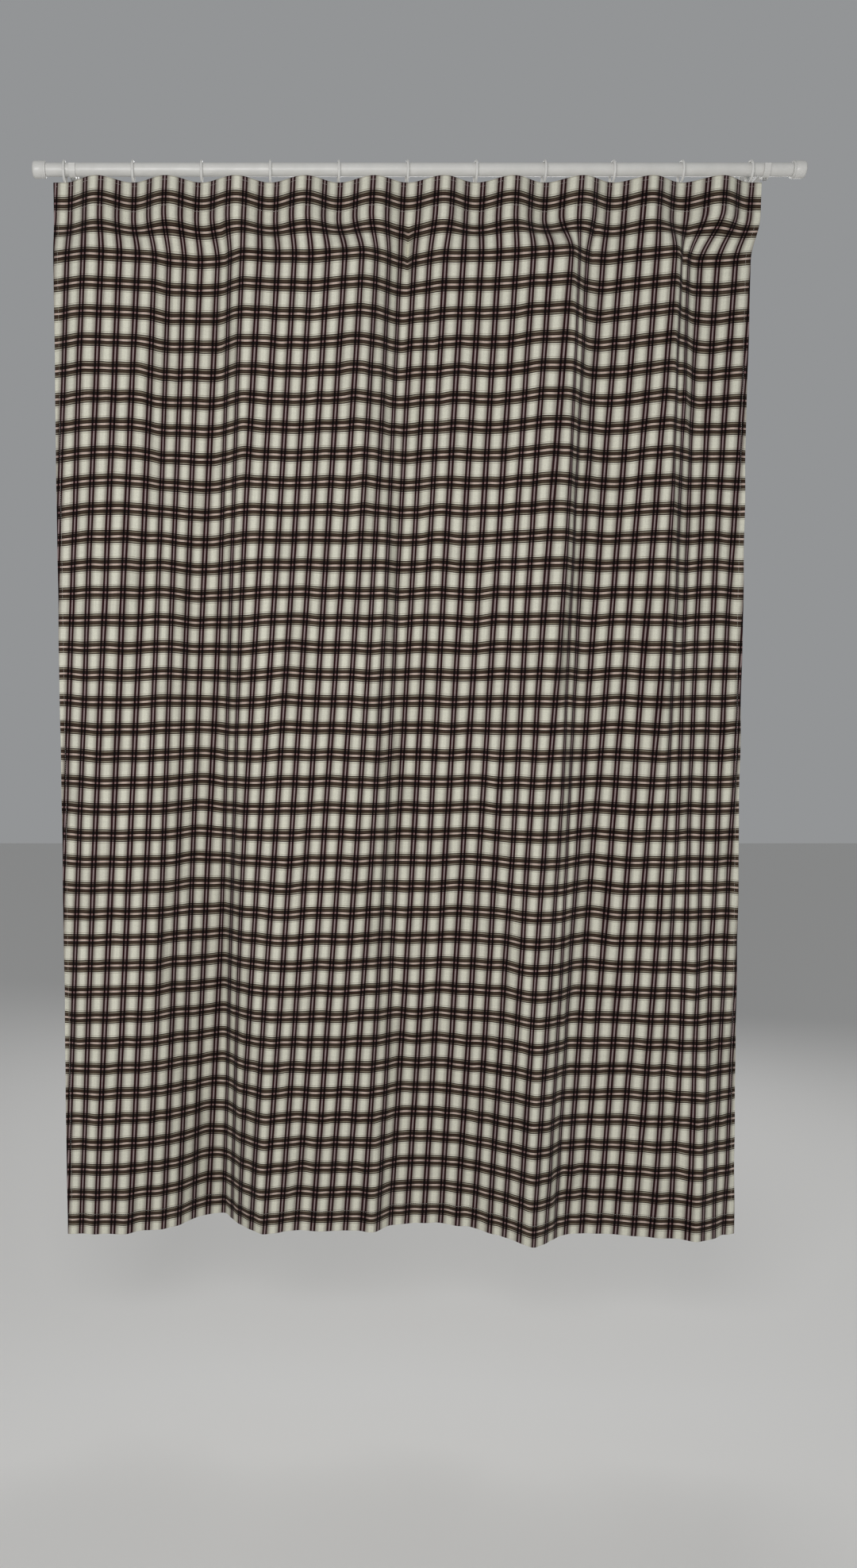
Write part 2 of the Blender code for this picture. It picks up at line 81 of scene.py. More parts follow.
TAPE_HEIGHT = TAPE_HIGH[2] - TAPE_LOW[2]
CAD_HALF_CLOTH = 0.0006
CAD_TAPE = 0.0012
FIT_GAP = 0.0003
CLOTH_Y = HOOK_BOXES[0][0][1] - FIT_GAP - CAD_TAPE - FIT_GAP - CAD_HALF_CLOTH
SEWN_GAP = 0.0001

# Where two hems cross, the cloth behind stands this much further out, and it comes back to one
# layer between these distances past the side hem
HEM_OVER_HEM = 1.6
HEM_STEP_START = 0.0005
HEM_STEP_END = 0.0055

# Seams and pockets: how far they keep from the edges, and how far a pocket stands off
SEAM_END_INSET = 0.003
TAPE_SEAM_INSET = 0.0016
SIDE_SEAM_CLEAR = 0.002
POCKETS_BELOW_TOP = (0.0155, 0.0290)
POCKET_FLAT_STAND = 0.0002
POCKET_THICKNESS = 0.0003
STITCH_SIDES = 5

# Sizes of the rod, its caps, a ring with its eye, and a hook
ROD_CENTRE_Y = (ROD_LOW[1] + ROD_HIGH[1]) / 2
ROD_RADIUS = (ROD_HIGH[2] - ROD_LOW[2]) / 2
RING_INNER_DIAMETER = 0.035
RING_WIRE = 0.0046
RING_RADIUS = (RING_INNER_DIAMETER + RING_WIRE) / 2
RING_CENTRE_Z = ROD_RADIUS + FIT_GAP - RING_INNER_DIAMETER / 2
EYE_INNER_DIAMETER = 0.0052
EYE_WIRE = 0.0024
EYE_SUNK_IN_RING = 0.0012
EYE_RADIUS = (EYE_INNER_DIAMETER + EYE_WIRE) / 2
EYE_BELOW_RING = RING_RADIUS + RING_WIRE / 2 + EYE_RADIUS + EYE_WIRE / 2 - EYE_SUNK_IN_RING
HOOK_WIRE = 0.0018
HOOK_ARCH_RADIUS = 0.0035
HOOK_TIP_LENGTH = 0.007
HOOK_SHANK_LENGTH = 0.030
HOOK_TURN_RADIUS = 0.0022
HOOK_PIN_LENGTH = 0.024
ROD_WALL = 0.0015
ROD_SIDES = 96
ROD_BURR = 0.0003
CAP_ROUNDING = 0.005
CAP_LIP = 0.0006
CAP_GROOVE = 0.0004
CAP_GROOVE_PLACES = (0.0042, 0.0046, 0.0052, 0.0056)
CAP_DIMPLE_RADII = (0.004, 0.0030)
CAP_DIMPLE_DEPTH = 0.0002
RING_MOULD_LINE = 0.00012
RING_STEPS = 96
RING_SIDES = 20
EYE_STEPS = 36
EYE_SIDES = 12
NECK_RADII = (0.0013, 0.0016, 0.0014, 0.0015, 0.0021)
NECK_SIDES = 16
NECK_SUNK_IN_RING = 0.0004
HOOK_SIDES = 14

# Corners sharper than these stay crisp, in degrees
CLOTH_CRISP = 60
ROD_CRISP = 35
WIRE_CRISP = 50

# How the cloth hangs: bows between the hooks, then long folds down to the hem. A fold is rounded
# over FOLD_ROUNDING of the flat cloth's width on each side.
HEADING_BOW = 0.034
HEADING_HEIGHT = TAPE_HEIGHT + 2 * TAPE_BELOW_TOP
FOLD_PLANE_FORWARD = 0.024
FOLDS_START = 0.15
FOLD_GROWTH = 1.3
FOLD_ROUNDING = 0.008

# Every fold line from the left edge to the right edge. First its place on the flat cloth, then
# its place across the hung width and its depth in metres behind (+) or in front (-) of the
# curtain's plane, where the folds start, and the same two at the hem. The numbers come from a
# least-squares fit by a separate program, some of them changed a little by hand afterwards, and
# are the same as the CAD cloth's.
FOLD_LINES = np.array(
    (
        (0.000, 0.000, 0.006, 0.000, 0.000),
        (0.046, 0.048, -0.018, 0.047, -0.006),
        (0.124, 0.136, 0.001, 0.136, 0.017),
        (0.155, 0.163, 0.019, 0.167, 0.050),
        (0.196, 0.203, 0.034, 0.205, 0.105),
        (0.222, 0.233, 0.030, 0.235, 0.115),
        (0.267, 0.267, -0.013, 0.259, 0.046),
        (0.307, 0.313, -0.002, 0.294, -0.006),
        (0.357, 0.365, -0.002, 0.348, 0.017),
        (0.424, 0.436, -0.023, 0.423, 0.013),
        (0.457, 0.466, 0.000, 0.461, 0.008),
        (0.495, 0.495, 0.036, 0.497, 0.049),
        (0.553, 0.548, -0.006, 0.566, 0.059),
        (0.602, 0.603, -0.004, 0.619, 0.028),
        (0.642, 0.647, -0.012, 0.655, -0.016),
        (0.688, 0.693, -0.028, 0.692, -0.073),
        (0.714, 0.727, -0.035, 0.716, -0.049),
        (0.756, 0.749, -0.001, 0.750, -0.006),
        (0.782, 0.778, 0.011, 0.780, 0.006),
        (0.873, 0.874, -0.029, 0.883, -0.021),
        (0.892, 0.883, -0.006, 0.906, -0.023),
        (0.928, 0.908, 0.028, 0.944, -0.046),
        (1.000, 0.985, 0.012, 1.008, 0.004),
    )
)

# Short creases that the hooks pull into the cloth: place on the flat cloth, distance below the
# top, depth, half of the width and half of the height
CREASES = (
    (0.503, 0.125, 0.014, 0.007, 0.055),
    (0.765, 0.110, 0.006, 0.007, 0.050),
    (0.900, 0.150, 0.008, 0.008, 0.090),
    (0.235, 0.120, 0.005, 0.008, 0.060),
)

# Random waves of each kind: depth, width and height of a typical one, in metres
WRINKLES = ((0.0012, 0.15, 0.9), (0.0010, 0.075, 0.5), (0.0005, 0.040, 0.22))
YARN_WAVES = ((0.0008, 0.28, 1.1), (0.0004, 0.14, 0.7), (0.0002, 0.08, 0.35))

# The plaid, in shares of the pitch from the middle of a stripe or a band outwards
STRIPE_LINE = 0.038
STRIPE_DARK = (0.043, 0.154)
STRIPE_THINS_TO = 0.40
STRIPE_THINS_OVER = 0.26
BAND_LINE = 0.027
BAND_DARK = (0.034, 0.161)
BAND_LIGHTER_MIDDLE = (0.075, 0.125)
BAND_KHAKI = (0.150, 0.205)
BAND_OUTER_DARK = (0.200, 0.236)
BAND_HAIRLINE = (0.272, 0.298)

# Each lamp: its name, its place from the middle of the cloth, the side of its square and its power
LAMPS = (
    ("key", (-0.6, -2.6, 0.5), 1.2, 42.0),
    ("fill", (2.3, -2.3, 0.6), 2.4, 7.0),
    ("back", (0.6, 2.6, 1.2), 2.0, 38.0),
)
ROOM_LIGHT = (0.86, 0.88, 0.90)
ROOM_LIGHT_STRENGTH = 0.34
FLOOR_REACH = 12.0


# ---------------------------------------------------------------- settings


def length(name, description, default):
    """A size in metres that a user may change."""
    settings = {"name": name, "description": description, "default": default}
    return FloatProperty(**settings, unit="LENGTH", precision=5)


def colour(name, description, default):
    """A colour that a user may change."""
    settings = {"name": name, "description": description, "default": default}
    return FloatVectorProperty(**settings, subtype="COLOR", size=3, min=0.0, max=1.0)


class ClothSettings(PropertyGroup):
    """Sizes and yarn colours of the plaid cloth."""

    flat_width: length("Flat width", "Finished width of the cloth laid flat", 1.58)
    thickness: length("Cloth thickness", "Thickness of one layer", 0.0007)
    side_hem: length("Side hem", "Width of the hem turned behind each side", 0.012)
    bottom_hem: length("Bottom hem", "Height of the hem turned up behind the bottom edge", 0.045)
    top_turn: length("Top turn", "Cloth turned down behind the top edge, under the tape", 0.030)
    fold_radius: length("Fold radius", "Radius of the cloth's middle at a turned edge", 0.0005)
    stripe_pitch: length("Stripe pitch", "Distance between the upright stripes", 0.0353)
    first_stripe: length("First stripe", "From the left edge to the first stripe, at the hem", 0.0308)
    band_pitch: length("Band pitch", "Distance between the level bands", 0.0534)
    last_band: length("Last band", "Height of the lowest band above the hem's edge", 0.0313)
    skew: FloatProperty(name="Skew", description="Lean of the stripes, metres a metre", default=0.055)
    yarn_pitch: length("Yarn pitch", "Distance between two yarns", 0.00055)
    ground: colour("Ground", "Cream ground yarn", (0.690, 0.675, 0.565))
    dark: colour("Dark", "Near-black burgundy yarn", (0.020, 0.004, 0.005))
    faded: colour("Faded dark", "Dark yarn where it thins out beside a stripe", (0.080, 0.036, 0.038))
    line: colour("Line", "Pinkish yarn in the middle of each stripe", (0.28, 0.21, 0.21))
    band_dark: colour("Dark band", "What a dark band lets through", (0.040, 0.017, 0.013))
    band_khaki: colour("Khaki band", "What a khaki band lets through", (0.31, 0.27, 0.22))
    band_pink: colour("Pink band", "What the pink line of a band lets through", (0.80, 0.60, 0.62))


class StitchSettings(PropertyGroup):
    """The sewing along the hems and the tape."""

    pitch: length("Stitch pitch", "Distance between two stitches", 0.0040)
    length: length("Stitch length", "Length of one stitch", 0.0031)
    radius: length("Thread radius", "Radius of the sewing thread", 0.00022)
    from_edge: length("Seam from edge", "From a hem's inner edge to its seam", 0.0020)
    thread: colour("Thread", "Sewing thread", (0.60, 0.58, 0.52))


class TapeSettings(PropertyGroup):
    """Sizes and colour of the heading tape."""

    thickness: length("Tape thickness", "Thickness of the woven band", 0.0005)
    short_of_edge: length("Short of edge", "From the cloth's side edge to the tape's end", 0.004)
    pocket_pitch: length("Pocket pitch", "Distance between the woven pockets", 0.0095)
    pocket_height: length("Pocket height", "Height of one row of pockets", 0.0085)
    tape: colour("Tape", "White woven tape", (0.74, 0.73, 0.69))


class HardwareSettings(PropertyGroup):
    """Finishes of the rod, rings, hooks and screws."""

    paint: colour("Paint", "Satin paint on the rod and its brackets", (0.70, 0.69, 0.66))
    plastic: colour("Ring plastic", "Moulded rings", (0.74, 0.73, 0.70))
    zinc: colour("Zinc", "Plated wire and screws", (0.62, 0.62, 0.60))


class StageSettings(PropertyGroup):
    """Camera, floor and lights."""

    focal_length: FloatProperty(name="Focal length", description="In millimetres", default=29.15)
    pitch: FloatProperty(name="Pitch", description="How far the camera looks down", default=5.5)
    distance: length("Distance", "From the camera to the curtain's plane", 2.55)
    camera_height: length("Camera height", "Above the hem", 1.06)
    camera_across: length("Camera across", "From the curtain's left edge", 0.4233)
    shift_x: FloatProperty(name="Shift X", description="Sideways shift of the lens", default=0.10)
    shift_y: FloatProperty(name="Shift Y", description="Upward shift of the lens", default=0.038)
    floor_below_hem: length("Floor below hem", "Gap between the floor and the hem", 0.35)
    floor: colour("Floor", "Pale matt floor", (0.80, 0.79, 0.77))


# ---------------------------------------------------------------- shader maths


def add_node(tree, kind, settings=None, inputs=None, output=0):
    """Add one node: its settings first, then the values or links of its sockets."""
    node = tree.nodes.new(kind)
    for name, value in (settings or {}).items():
        setattr(node, name, value)
    for name, value in (inputs or {}).items():
        if isinstance(value, Wire):
            tree.links.new(value.socket, node.inputs[name])
        elif node.inputs[name].type == "RGBA":
            node.inputs[name].default_value = (*value, 1.0)
        else:
            node.inputs[name].default_value = value
    return Wire(node.outputs[output])


def mix_colours(tree, factor, first, second, blend="MIX"):
    """Two colours, each a wire or three numbers, mixed by a factor."""
    settings = {"data_type": "RGBA", "blend_type": blend, "clamp_factor": True}
    return add_node(tree, "ShaderNodeMix", settings, {0: factor, 6: first, 7: second}, 2)


def split_place(tree, place):
    """The three coordinates of a place."""
    return [add_node(tree, "ShaderNodeSeparateXYZ", {}, {0: place}, output) for output in range(3)]


def object_place(tree):
    """Where a point lies on its piece, in metres."""
    return add_node(tree, "ShaderNodeTexCoord", {}, {}, "Object")


class Wire:
    """A socket that can be used in sums: each operator adds its Math node."""

    def __init__(self, socket):
        self.socket = socket

    def math(self, operation, first, second=0.0, third=0.0):
        inputs = {0: first, 1: second, 2: third}
        return add_node(self.socket.id_data, "ShaderNodeMath", {"operation": operation}, inputs)

    def __add__(self, other):
        return self.math("ADD", self, other)

    def __radd__(self, other):
        return self.math("ADD", other, self)

    def __sub__(self, other):
        return self.math("SUBTRACT", self, other)

    def __rsub__(self, other):
        return self.math("SUBTRACT", other, self)

    def __mul__(self, other):
        return self.math("MULTIPLY", self, other)

    def __rmul__(self, other):
        return self.math("MULTIPLY", other, self)

    def __truediv__(self, other):
        return self.math("DIVIDE", self, other)

    def __rtruediv__(self, other):
        return self.math("DIVIDE", other, self)

    def __abs__(self):
        return self.math("ABSOLUTE", self)

    def fraction(self):
        return self.math("FRACT", self)

    def sine(self):
        return self.math("SINE", self)

    def clamped(self):
        return self.math("MINIMUM", self.math("MAXIMUM", self, 0.0), 1.0)

    def below(self, edge, soft):
        """1 where the value is under edge, fading to 0 over soft."""
        return ((edge - self) / soft + 0.5).clamped()

    def between(self, low, high, soft):
        """1 from low to high, fading over soft at both ends."""
        return self.below(high, soft) * (1 - self.below(low, soft))

    def towards(self, colour, factor):
        """This colour turned towards another by a factor."""
        return mix_colours(self.socket.id_data, factor, self, colour)

    def times(self, colour, factor=1.0):
        """This colour multiplied by another."""
        return mix_colours(self.socket.id_data, factor, self, colour, "MULTIPLY")


def rgba(values):
    """A colour setting with its alpha."""
    return (*values, 1.0)


def new_material(name, **constants):
    """A material and its Principled shader, with sockets that are the same all over."""
    material = bpy.data.materials.new(name)
    material.use_nodes = True
    shader = material.node_tree.nodes["Principled BSDF"]
    for socket, value in constants.items():
        shader.inputs[socket.replace("_", " ")].default_value = value
    return material, shader


def darker(values, share):
    """A colour setting times a share."""
    return [value * share for value in values]


def connect(wire, shader, socket):
    """Link a wire to one of the shader's sockets."""
    wire.socket.id_data.links.new(wire.socket, shader.inputs[socket])


def give_finish(shader, colour, height, distance, strength, roughness=None):
    """Give a shader its colour, its bump and, where it varies, its roughness."""
    connect(colour, shader, "Base Color")
    if roughness is not None:
        connect(roughness, shader, "Roughness")
    connect(bump(colour.socket.id_data, height, distance, strength), shader, "Normal")


def noise(tree, place, scale, detail=2.0):
    """A noise value around 0.5 at a place."""
    return add_node(tree, "ShaderNodeTexNoise", {}, {"Vector": place, "Scale": scale, "Detail": detail})


def stretched(tree, place, scale):
    """A place with each direction scaled."""
    return add_node(tree, "ShaderNodeVectorMath", {"operation": "MULTIPLY"}, {0: place, 1: scale})


def bump(tree, height, distance, strength=1.0):
    """A normal from a height."""
    inputs = {"Height": height, "Distance": distance, "Strength": strength}
    return add_node(tree, "ShaderNodeBump", {}, inputs)


def weave_height(across, down, pitch):
    """Height of a plain weave, 0 to 1: yarns one way pass over and under the yarns the other way."""
    turn = math.pi / pitch
    crossing = (across * turn).sine() * (down * turn).sine()
    over = (crossing * 4 + 0.5).clamped()
    warp = abs((across * turn + math.pi / 2).sine())
    weft = abs((down * turn + math.pi / 2).sine())
    return warp * (over * 0.5 + 0.5) + weft * (1.0 - over * 0.5) * 0.5


def from_line(place, pitch, first):
    """Distance from the nearest of the lines that repeat at a pitch, as a share of the pitch."""
    pitches_before = 60
    return abs((place / pitch + (0.5 - first / pitch + pitches_before)).fraction() - 0.5)


def grey(tree, value):
    """A value as a colour."""
    return add_node(tree, "ShaderNodeCombineColor", {}, {0: value, 1: value, 2: value})


def upright_stripes(tree, stripe, up_fine, up_wide, settings):
    """A pinkish line between two dark ones, then dark yarns that thin out into the ground."""
    spread = ((STRIPE_THINS_TO - stripe) / STRIPE_THINS_OVER).clamped()
    thinning = spread * (0.40 + up_wide * 0.75 + (up_fine - 0.5) * 1.1).clamped()
    upright = mix_colours(tree, thinning, settings.ground, settings.faded)
    dense = stripe.between(*STRIPE_DARK, 0.018) * (0.90 + up_wide * 0.2)
    upright = upright.towards(settings.dark, dense)
    return upright.towards(settings.line, stripe.below(STRIPE_LINE, 0.014))


def level_bands(tree, band, level_wide, settings):
    """The bands, as what each lets through of the colour under it."""
    khaki = settings.band_khaki
    clear = (1.0, 1.0, 1.0)
    streaked = (0.55 + (level_wide - 0.5) * 1.6).clamped()
    level = mix_colours(tree, band.between(*BAND_HAIRLINE, 0.010) * 0.55, clear, khaki)
    level = level.towards(khaki, band.between(*BAND_KHAKI, 0.010) * (0.5 + level_wide * 0.7))
    level = level.towards(settings.band_dark, band.between(*BAND_OUTER_DARK, 0.010))
    level = level.towards(settings.band_dark, band.between(*BAND_DARK, 0.012))
    level = level.towards(khaki, band.between(*BAND_LIGHTER_MIDDLE, 0.016) * streaked * 0.36)
    return level.towards(settings.band_pink, band.below(BAND_LINE, 0.012))


def plaid_material(settings):
    """Yarn-dyed plaid: cream ground, dark double stripes and bands with a pinkish line between."""
    constants = {"Roughness": 0.92, "Sheen_Weight": 0.03, "Specular_IOR_Level": 0.12}
    material, shader = new_material("plaid_cotton", **constants)
    tree = material.node_tree
    place = add_node(tree, "ShaderNodeAttribute", {"attribute_name": "cloth_place"}, {}, "Vector")
    cut_across, down, _ = split_place(tree, place)
    across = cut_across + (down - DROP) * settings.skew
    cloth_place = add_node(tree, "ShaderNodeCombineXYZ", {}, {0: across, 1: down})

    # Uneven yarns: streaks one yarn and three yarns wide, and a slow drift of each stripe's edges
    streaks = ((1500.0, 11.0, 0.0), (520.0, 7.0, 0.0), (11.0, 1500.0, 0.0), (7.0, 480.0, 0.0))
    up_fine, up_wide, level_fine, level_wide = (
        noise(tree, stretched(tree, cloth_place, streak), 1.0, 1.0) for streak in streaks
    )
    drift = noise(tree, cloth_place, 40.0) - 0.5
    stripe = from_line(across, settings.stripe_pitch, settings.first_stripe) + drift * 0.012
    band = from_line(down, settings.band_pitch, DROP - settings.last_band) + drift * 0.008
    upright = upright_stripes(tree, stripe, up_fine, up_wide, settings)
    woven = upright.times(level_bands(tree, band, level_wide, settings))

    # Yarn by yarn unevenness, the weave's own shadows, and wear over larger patches
    patch = 0.72 + noise(tree, cloth_place, 5.0) * 0.14 + noise(tree, cloth_place, 160.0) * 0.12
    patch = patch + noise(tree, cloth_place, 420.0) * 0.30
    yarns = (0.80 + up_fine * 0.13 + up_wide * 0.09 + level_fine * 0.13 + level_wide * 0.05) * patch
    woven = woven.times(grey(tree, yarns))
    height = weave_height(across, down, settings.yarn_pitch)
    woven = woven.times(grey(tree, 0.78 + height * 0.29))
    give_finish(shader, woven, height + up_fine * 0.5 + level_fine * 0.5, 0.00012, 0.7)
    return material


def tape_material(settings):
    """Plain white woven tape with a rib across it, and painted shade in the grooves between its ribs
    and rows.
    """
    material, shader = new_material("woven_tape", Roughness=0.85, Sheen_Weight=0.1)
    tree = material.node_tree
    place = object_place(tree)
    across, _, up = split_place(tree, place)
    ribs = (across * 5200.0).sine() * 0.5 + 0.5
    rows = (up * 4200.0).sine() * 0.5 + 0.5
    height = ribs * 0.6 + rows * 0.4
    # Painted shade: the tape is darker where its ribs and rows are low, with random tone over it
    light = height * 0.7 + noise(tree, place, 30.0) * 0.3
    rib_shaded_tape = mix_colours(tree, light, darker(settings.tape, 0.82), settings.tape)
    give_finish(shader, rib_shaded_tape, height, 0.00015, 0.8)
    return material


def thread_material(settings):
    """Twisted polyester sewing thread."""
    material, shader = new_material("sewing_thread", Roughness=0.6, Sheen_Weight=0.2)
    tree = material.node_tree
    twist = noise(tree, object_place(tree), 2200.0, 1.0)
    shaded = mix_colours(tree, twist, darker(settings.thread, 0.75), settings.thread)
    give_finish(shader, shaded, twist, 0.00005, 0.5)
    return material


def paint_material(settings):
    """Satin white paint with a faint orange peel and a little dust."""
    material, shader = new_material("satin_paint", Coat_Weight=0.15, Coat_Roughness=0.25)
    tree = material.node_tree
    place = object_place(tree)
    dust = noise(tree, place, 45.0, 4.0)
    peel = noise(tree, place, 900.0, 1.0)
    dusty = mix_colours(tree, dust, settings.paint, darker(settings.paint, 0.86))
    give_finish(shader, dusty, peel, 0.00008, 0.35, 0.32 + dust * 0.22)
    return material


def plastic_material(settings):
    """Moulded ring plastic with fine scuffs where the ring runs on the rod."""
    material, shader = new_material("ring_plastic", Specular_IOR_Level=0.5)
    tree = material.node_tree
    scuff = noise(tree, stretched(tree, object_place(tree), (900.0, 60.0, 60.0)), 1.0, 3.0)
    worn = mix_colours(tree, scuff * 0.6, settings.plastic, darker(settings.plastic, 0.80))
    give_finish(shader, worn, scuff, 0.00004, 0.4, 0.22 + scuff * 0.25)
    return material


def zinc_material(settings):
    """Bright zinc plate, slightly mottled."""
    material, shader = new_material("zinc_plate", Metallic=1.0)
    tree = material.node_tree
    mottle = noise(tree, object_place(tree), 700.0, 3.0)
    mottled = mix_colours(tree, mottle, settings.zinc, darker(settings.zinc, 0.7))
    give_finish(shader, mottled, mottle, 0.00003, 0.3, 0.25 + mottle * 0.25)
    return material


# ---------------------------------------------------------------- how the cloth hangs


def eased(value, start, end):
    """0 before start, 1 after end and smooth between them."""
    part = np.clip((value - start) / (end - start), 0.0, 1.0)
    return part * part * (3 - 2 * part)


def straight_between_folds(shares):
    """Read the four fold values at each share of the flat cloth's width, straight between folds."""
    places = FOLD_LINES[:, 0]
    start = np.clip(np.searchsorted(places, shares, side="right") - 1, 0, len(places) - 2)
    part = (shares - places[start]) / (places[start + 1] - places[start])
    return FOLD_LINES[start, 1:] + (FOLD_LINES[start + 1, 1:] - FOLD_LINES[start, 1:]) * part[:, None]


def fold_lines_at(shares):
    """Read the four fold values at each share of the flat cloth's width, with every fold rounded."""
    offsets = [FOLD_ROUNDING * step / 4 for step in range(-4, 5)]
    return sum(straight_between_folds(shares + offset) for offset in offsets) / len(offsets)


def random_waves(across, down, seed, each, kinds, widest):
    """A sum of long leaning waves in metres: several of each kind, with random widths and leans."""
    random = np.random.default_rng(seed)
    total = np.zeros(np.broadcast(across, down).shape)
    for size, width, tall in kinds:
        for _ in range(each):
            wide = 2 * math.pi / (width * random.uniform(0.75, widest))
            high = 2 * math.pi / (tall * random.uniform(0.7, 1.6)) * random.choice((-1, 1))
            start = random.uniform(0, 2 * math.pi)
            total = total + size * np.sin(wide * across + high * down + start)
    return total


def wrinkles(across, down):
    """Small soft wrinkles in metres: long upright waves of mixed width, and none at the heading."""
    total = random_waves(across, down, seed=11, each=5, kinds=WRINKLES, widest=1.4)
    return total * eased(down, 0.07, 0.40)


def yarn_waves(across, down):
    """Small lift and drop in metres of the level yarns, which never hang quite straight."""
    total = random_waves(across, down, seed=23, each=4, kinds=YARN_WAVES, widest=1.35)
    return total * eased(down, 0.07, 0.30) * (1 - eased(down, DROP - 0.35, DROP - 0.05))


def creases(across, down):
    """Depth in metres of the creases that the hooks pull into the cloth below the heading."""
    flat = bpy.context.scene.curtain_cloth.flat_width
    total = np.zeros(np.broadcast(across, down).shape)
    for share, below_top, depth, half_width, half_height in CREASES:
        beside = (across - share * flat) / half_width
        beyond = (down - below_top) / half_height
        total = total + depth * np.exp(-(beside**2) - beyond**2)
    return total * eased(down, 0.060, 0.090)


def hem_puckers(across, down):
    """Puckers that the stitching draws into the cloth beside the bottom hem's seam."""
    depth = 0.00035
    reach = 0.012
    pitch = 0.0137
    seam_place = DROP - bpy.context.scene.curtain_cloth.bottom_hem
    near = np.exp(-(((down - seam_place) / reach) ** 2))
    wave = np.sin(across * 2 * math.pi / pitch + 1.3 * np.sin(across * 19.0))
    slow = 0.55 + 0.45 * np.sin(across * 31.0 + 0.7)
    return depth * near * wave * slow


def hung(across, down):
    """Middle of the cloth, as X and Y grids, at metres across and down on the flat cloth."""
    shares = across / bpy.context.scene.curtain_cloth.flat_width
    folds = fold_lines_at(shares)
    past_hook = (shares * HUNG_WIDTH - EDGE_BEYOND_HOOK) / HOOK_SPACING
    on_hooks = (past_hook > 0) & (past_hook < HOOK_COUNT - 1)
    bow = np.where(on_hooks, -HEADING_BOW * np.sin(math.pi * past_hook) ** 2, 0.0)
    down = down[:, None]
    grown = np.clip((down - FOLDS_START) / (DROP - FOLDS_START), 0.0, 1.0) ** FOLD_GROWTH
    into = eased(down, HEADING_HEIGHT, FOLDS_START)
    folded_x = HEADING_LEFT_X + (folds[:, 0] + (folds[:, 2] - folds[:, 0]) * grown) * HUNG_WIDTH
    folded_y = CLOTH_Y - FOLD_PLANE_FORWARD + folds[:, 1] + (folds[:, 3] - folds[:, 1]) * grown
    heading_x = HEADING_LEFT_X + shares * HUNG_WIDTH
    x = heading_x + (folded_x - heading_x) * into
    y = CLOTH_Y + bow + (folded_y - CLOTH_Y - bow) * into
    return x, y + wrinkles(across, down) + creases(across, down) + hem_puckers(across, down)


def cloth_surface(across, down):
    """Points in the middle of the cloth and the level direction to its back, as grids."""
    step = 0.0005
    x, y = hung(across, down)
    next_x, next_y = hung(np.clip(across + step, 0, None), down)
    last_x, last_y = hung(np.clip(across - step, 0, None), down)
    along_x = next_x - last_x
    along_y = next_y - last_y
    size = np.hypot(along_x, along_y)
    z = CLOTH_HIGH[2] - down[:, None] + yarn_waves(across, down[:, None])
    points = np.stack([x, y, z], axis=-1)
    behind = np.stack([-along_y / size, along_x / size, np.zeros_like(x)], axis=-1)
    return points, behind


def past_fold(distances, radius):
    """For distances from a turned edge, negative behind it: the place along, and 0 to 1 behind."""
    quarter = math.pi * radius / 2
    angle = np.clip((quarter - distances) / radius, 0.0, math.pi)
    straight = np.maximum(np.abs(distances) - quarter, 0.0)
    return radius * (1 - np.sin(angle)) + straight, (1 - np.cos(angle)) / 2


def past_both_folds(places, size, radius):
    """Past the turned edges at 0 and size: place along, distance from the edge, 0 to 1 behind."""
    near_start, turned_start = past_fold(places, radius)
    near_end, turned_end = past_fold(size - places, radius)
    first_half = places < size / 2
    along = np.where(first_half, near_start, size - near_end)
    near = np.where(first_half, near_start, near_end)
    return along, near, np.where(first_half, turned_start, turned_end)


def steps_between(start, end, pitch):
    """Even steps from start to end, both included, about pitch apart."""
    return np.linspace(start, end, max(int(round((end - start) / pitch)), 1) + 1)


def fold_steps(radius):
    """Fine steps round a turned edge at 0."""
    quarter = math.pi * radius / 2
    return np.linspace(-quarter, quarter, 6)


def tube_faces(rings, sides, closed=False):
    """Quads between rings of points: of a closed tube, or of an open one, then its two end caps."""
    index = np.arange(rings * sides).reshape(rings, sides)
    before = index if closed else index[:-1]
    after = np.roll(index, -1, axis=0) if closed else index[1:]
    corners = [before, np.roll(before, -1, axis=1), np.roll(after, -1, axis=1), after]
    quads = np.stack([corner.ravel() for corner in corners], axis=1)
    return quads if closed else (quads, np.stack([index[0, ::-1], index[-1]]))


def grid_faces(rows, columns, offset, flip):
    """Quads of a grid whose corners start at offset."""
    index = np.arange(rows * columns).reshape(rows, columns) + offset
    corners = [index[:-1, :-1], index[1:, :-1], index[1:, 1:], index[:-1, 1:]]
    if flip:
        corners.reverse()
    return np.stack([corner.ravel() for corner in corners], axis=1)


def rim_faces(rows, columns):
    """Quads that close the four edges between a front grid and the back grid after it."""
    index = np.arange(rows * columns).reshape(rows, columns)
    loop = np.concatenate([index[0, :], index[1:, -1], index[-1, -2::-1], index[-2:0:-1, 0]])
    after = np.roll(loop, -1)
    back = rows * columns
    return np.stack([loop, after, after + back, loop + back], axis=1)


def sheet_parts(points, thickness):
    """Vertices and faces of a closed sheet around a grid of middle points."""
    rows, columns = points.shape[:2]
    normal = np.cross(np.gradient(points, axis=0), np.gradient(points, axis=1))
    normal /= np.linalg.norm(normal, axis=-1, keepdims=True)
    front = points + normal * thickness / 2
    back = points - normal * thickness / 2
    vertices = np.concatenate([front.reshape(-1, 3), back.reshape(-1, 3)])
    faces = [
        grid_faces(rows, columns, 0, False),
        grid_faces(rows, columns, rows * columns, True),
        rim_faces(rows, columns),
    ]
    return vertices, np.concatenate(faces).tolist()


def joined_parts(parts):
    """Several sets of vertices and faces as one."""
    vertices = []
    faces = []
    start = 0
    for some_vertices, some_faces in parts:
        vertices.append(some_vertices)
        faces += [tuple(index + start for index in face) for face in some_faces]
        start += len(some_vertices)
    return np.concatenate(vertices), faces


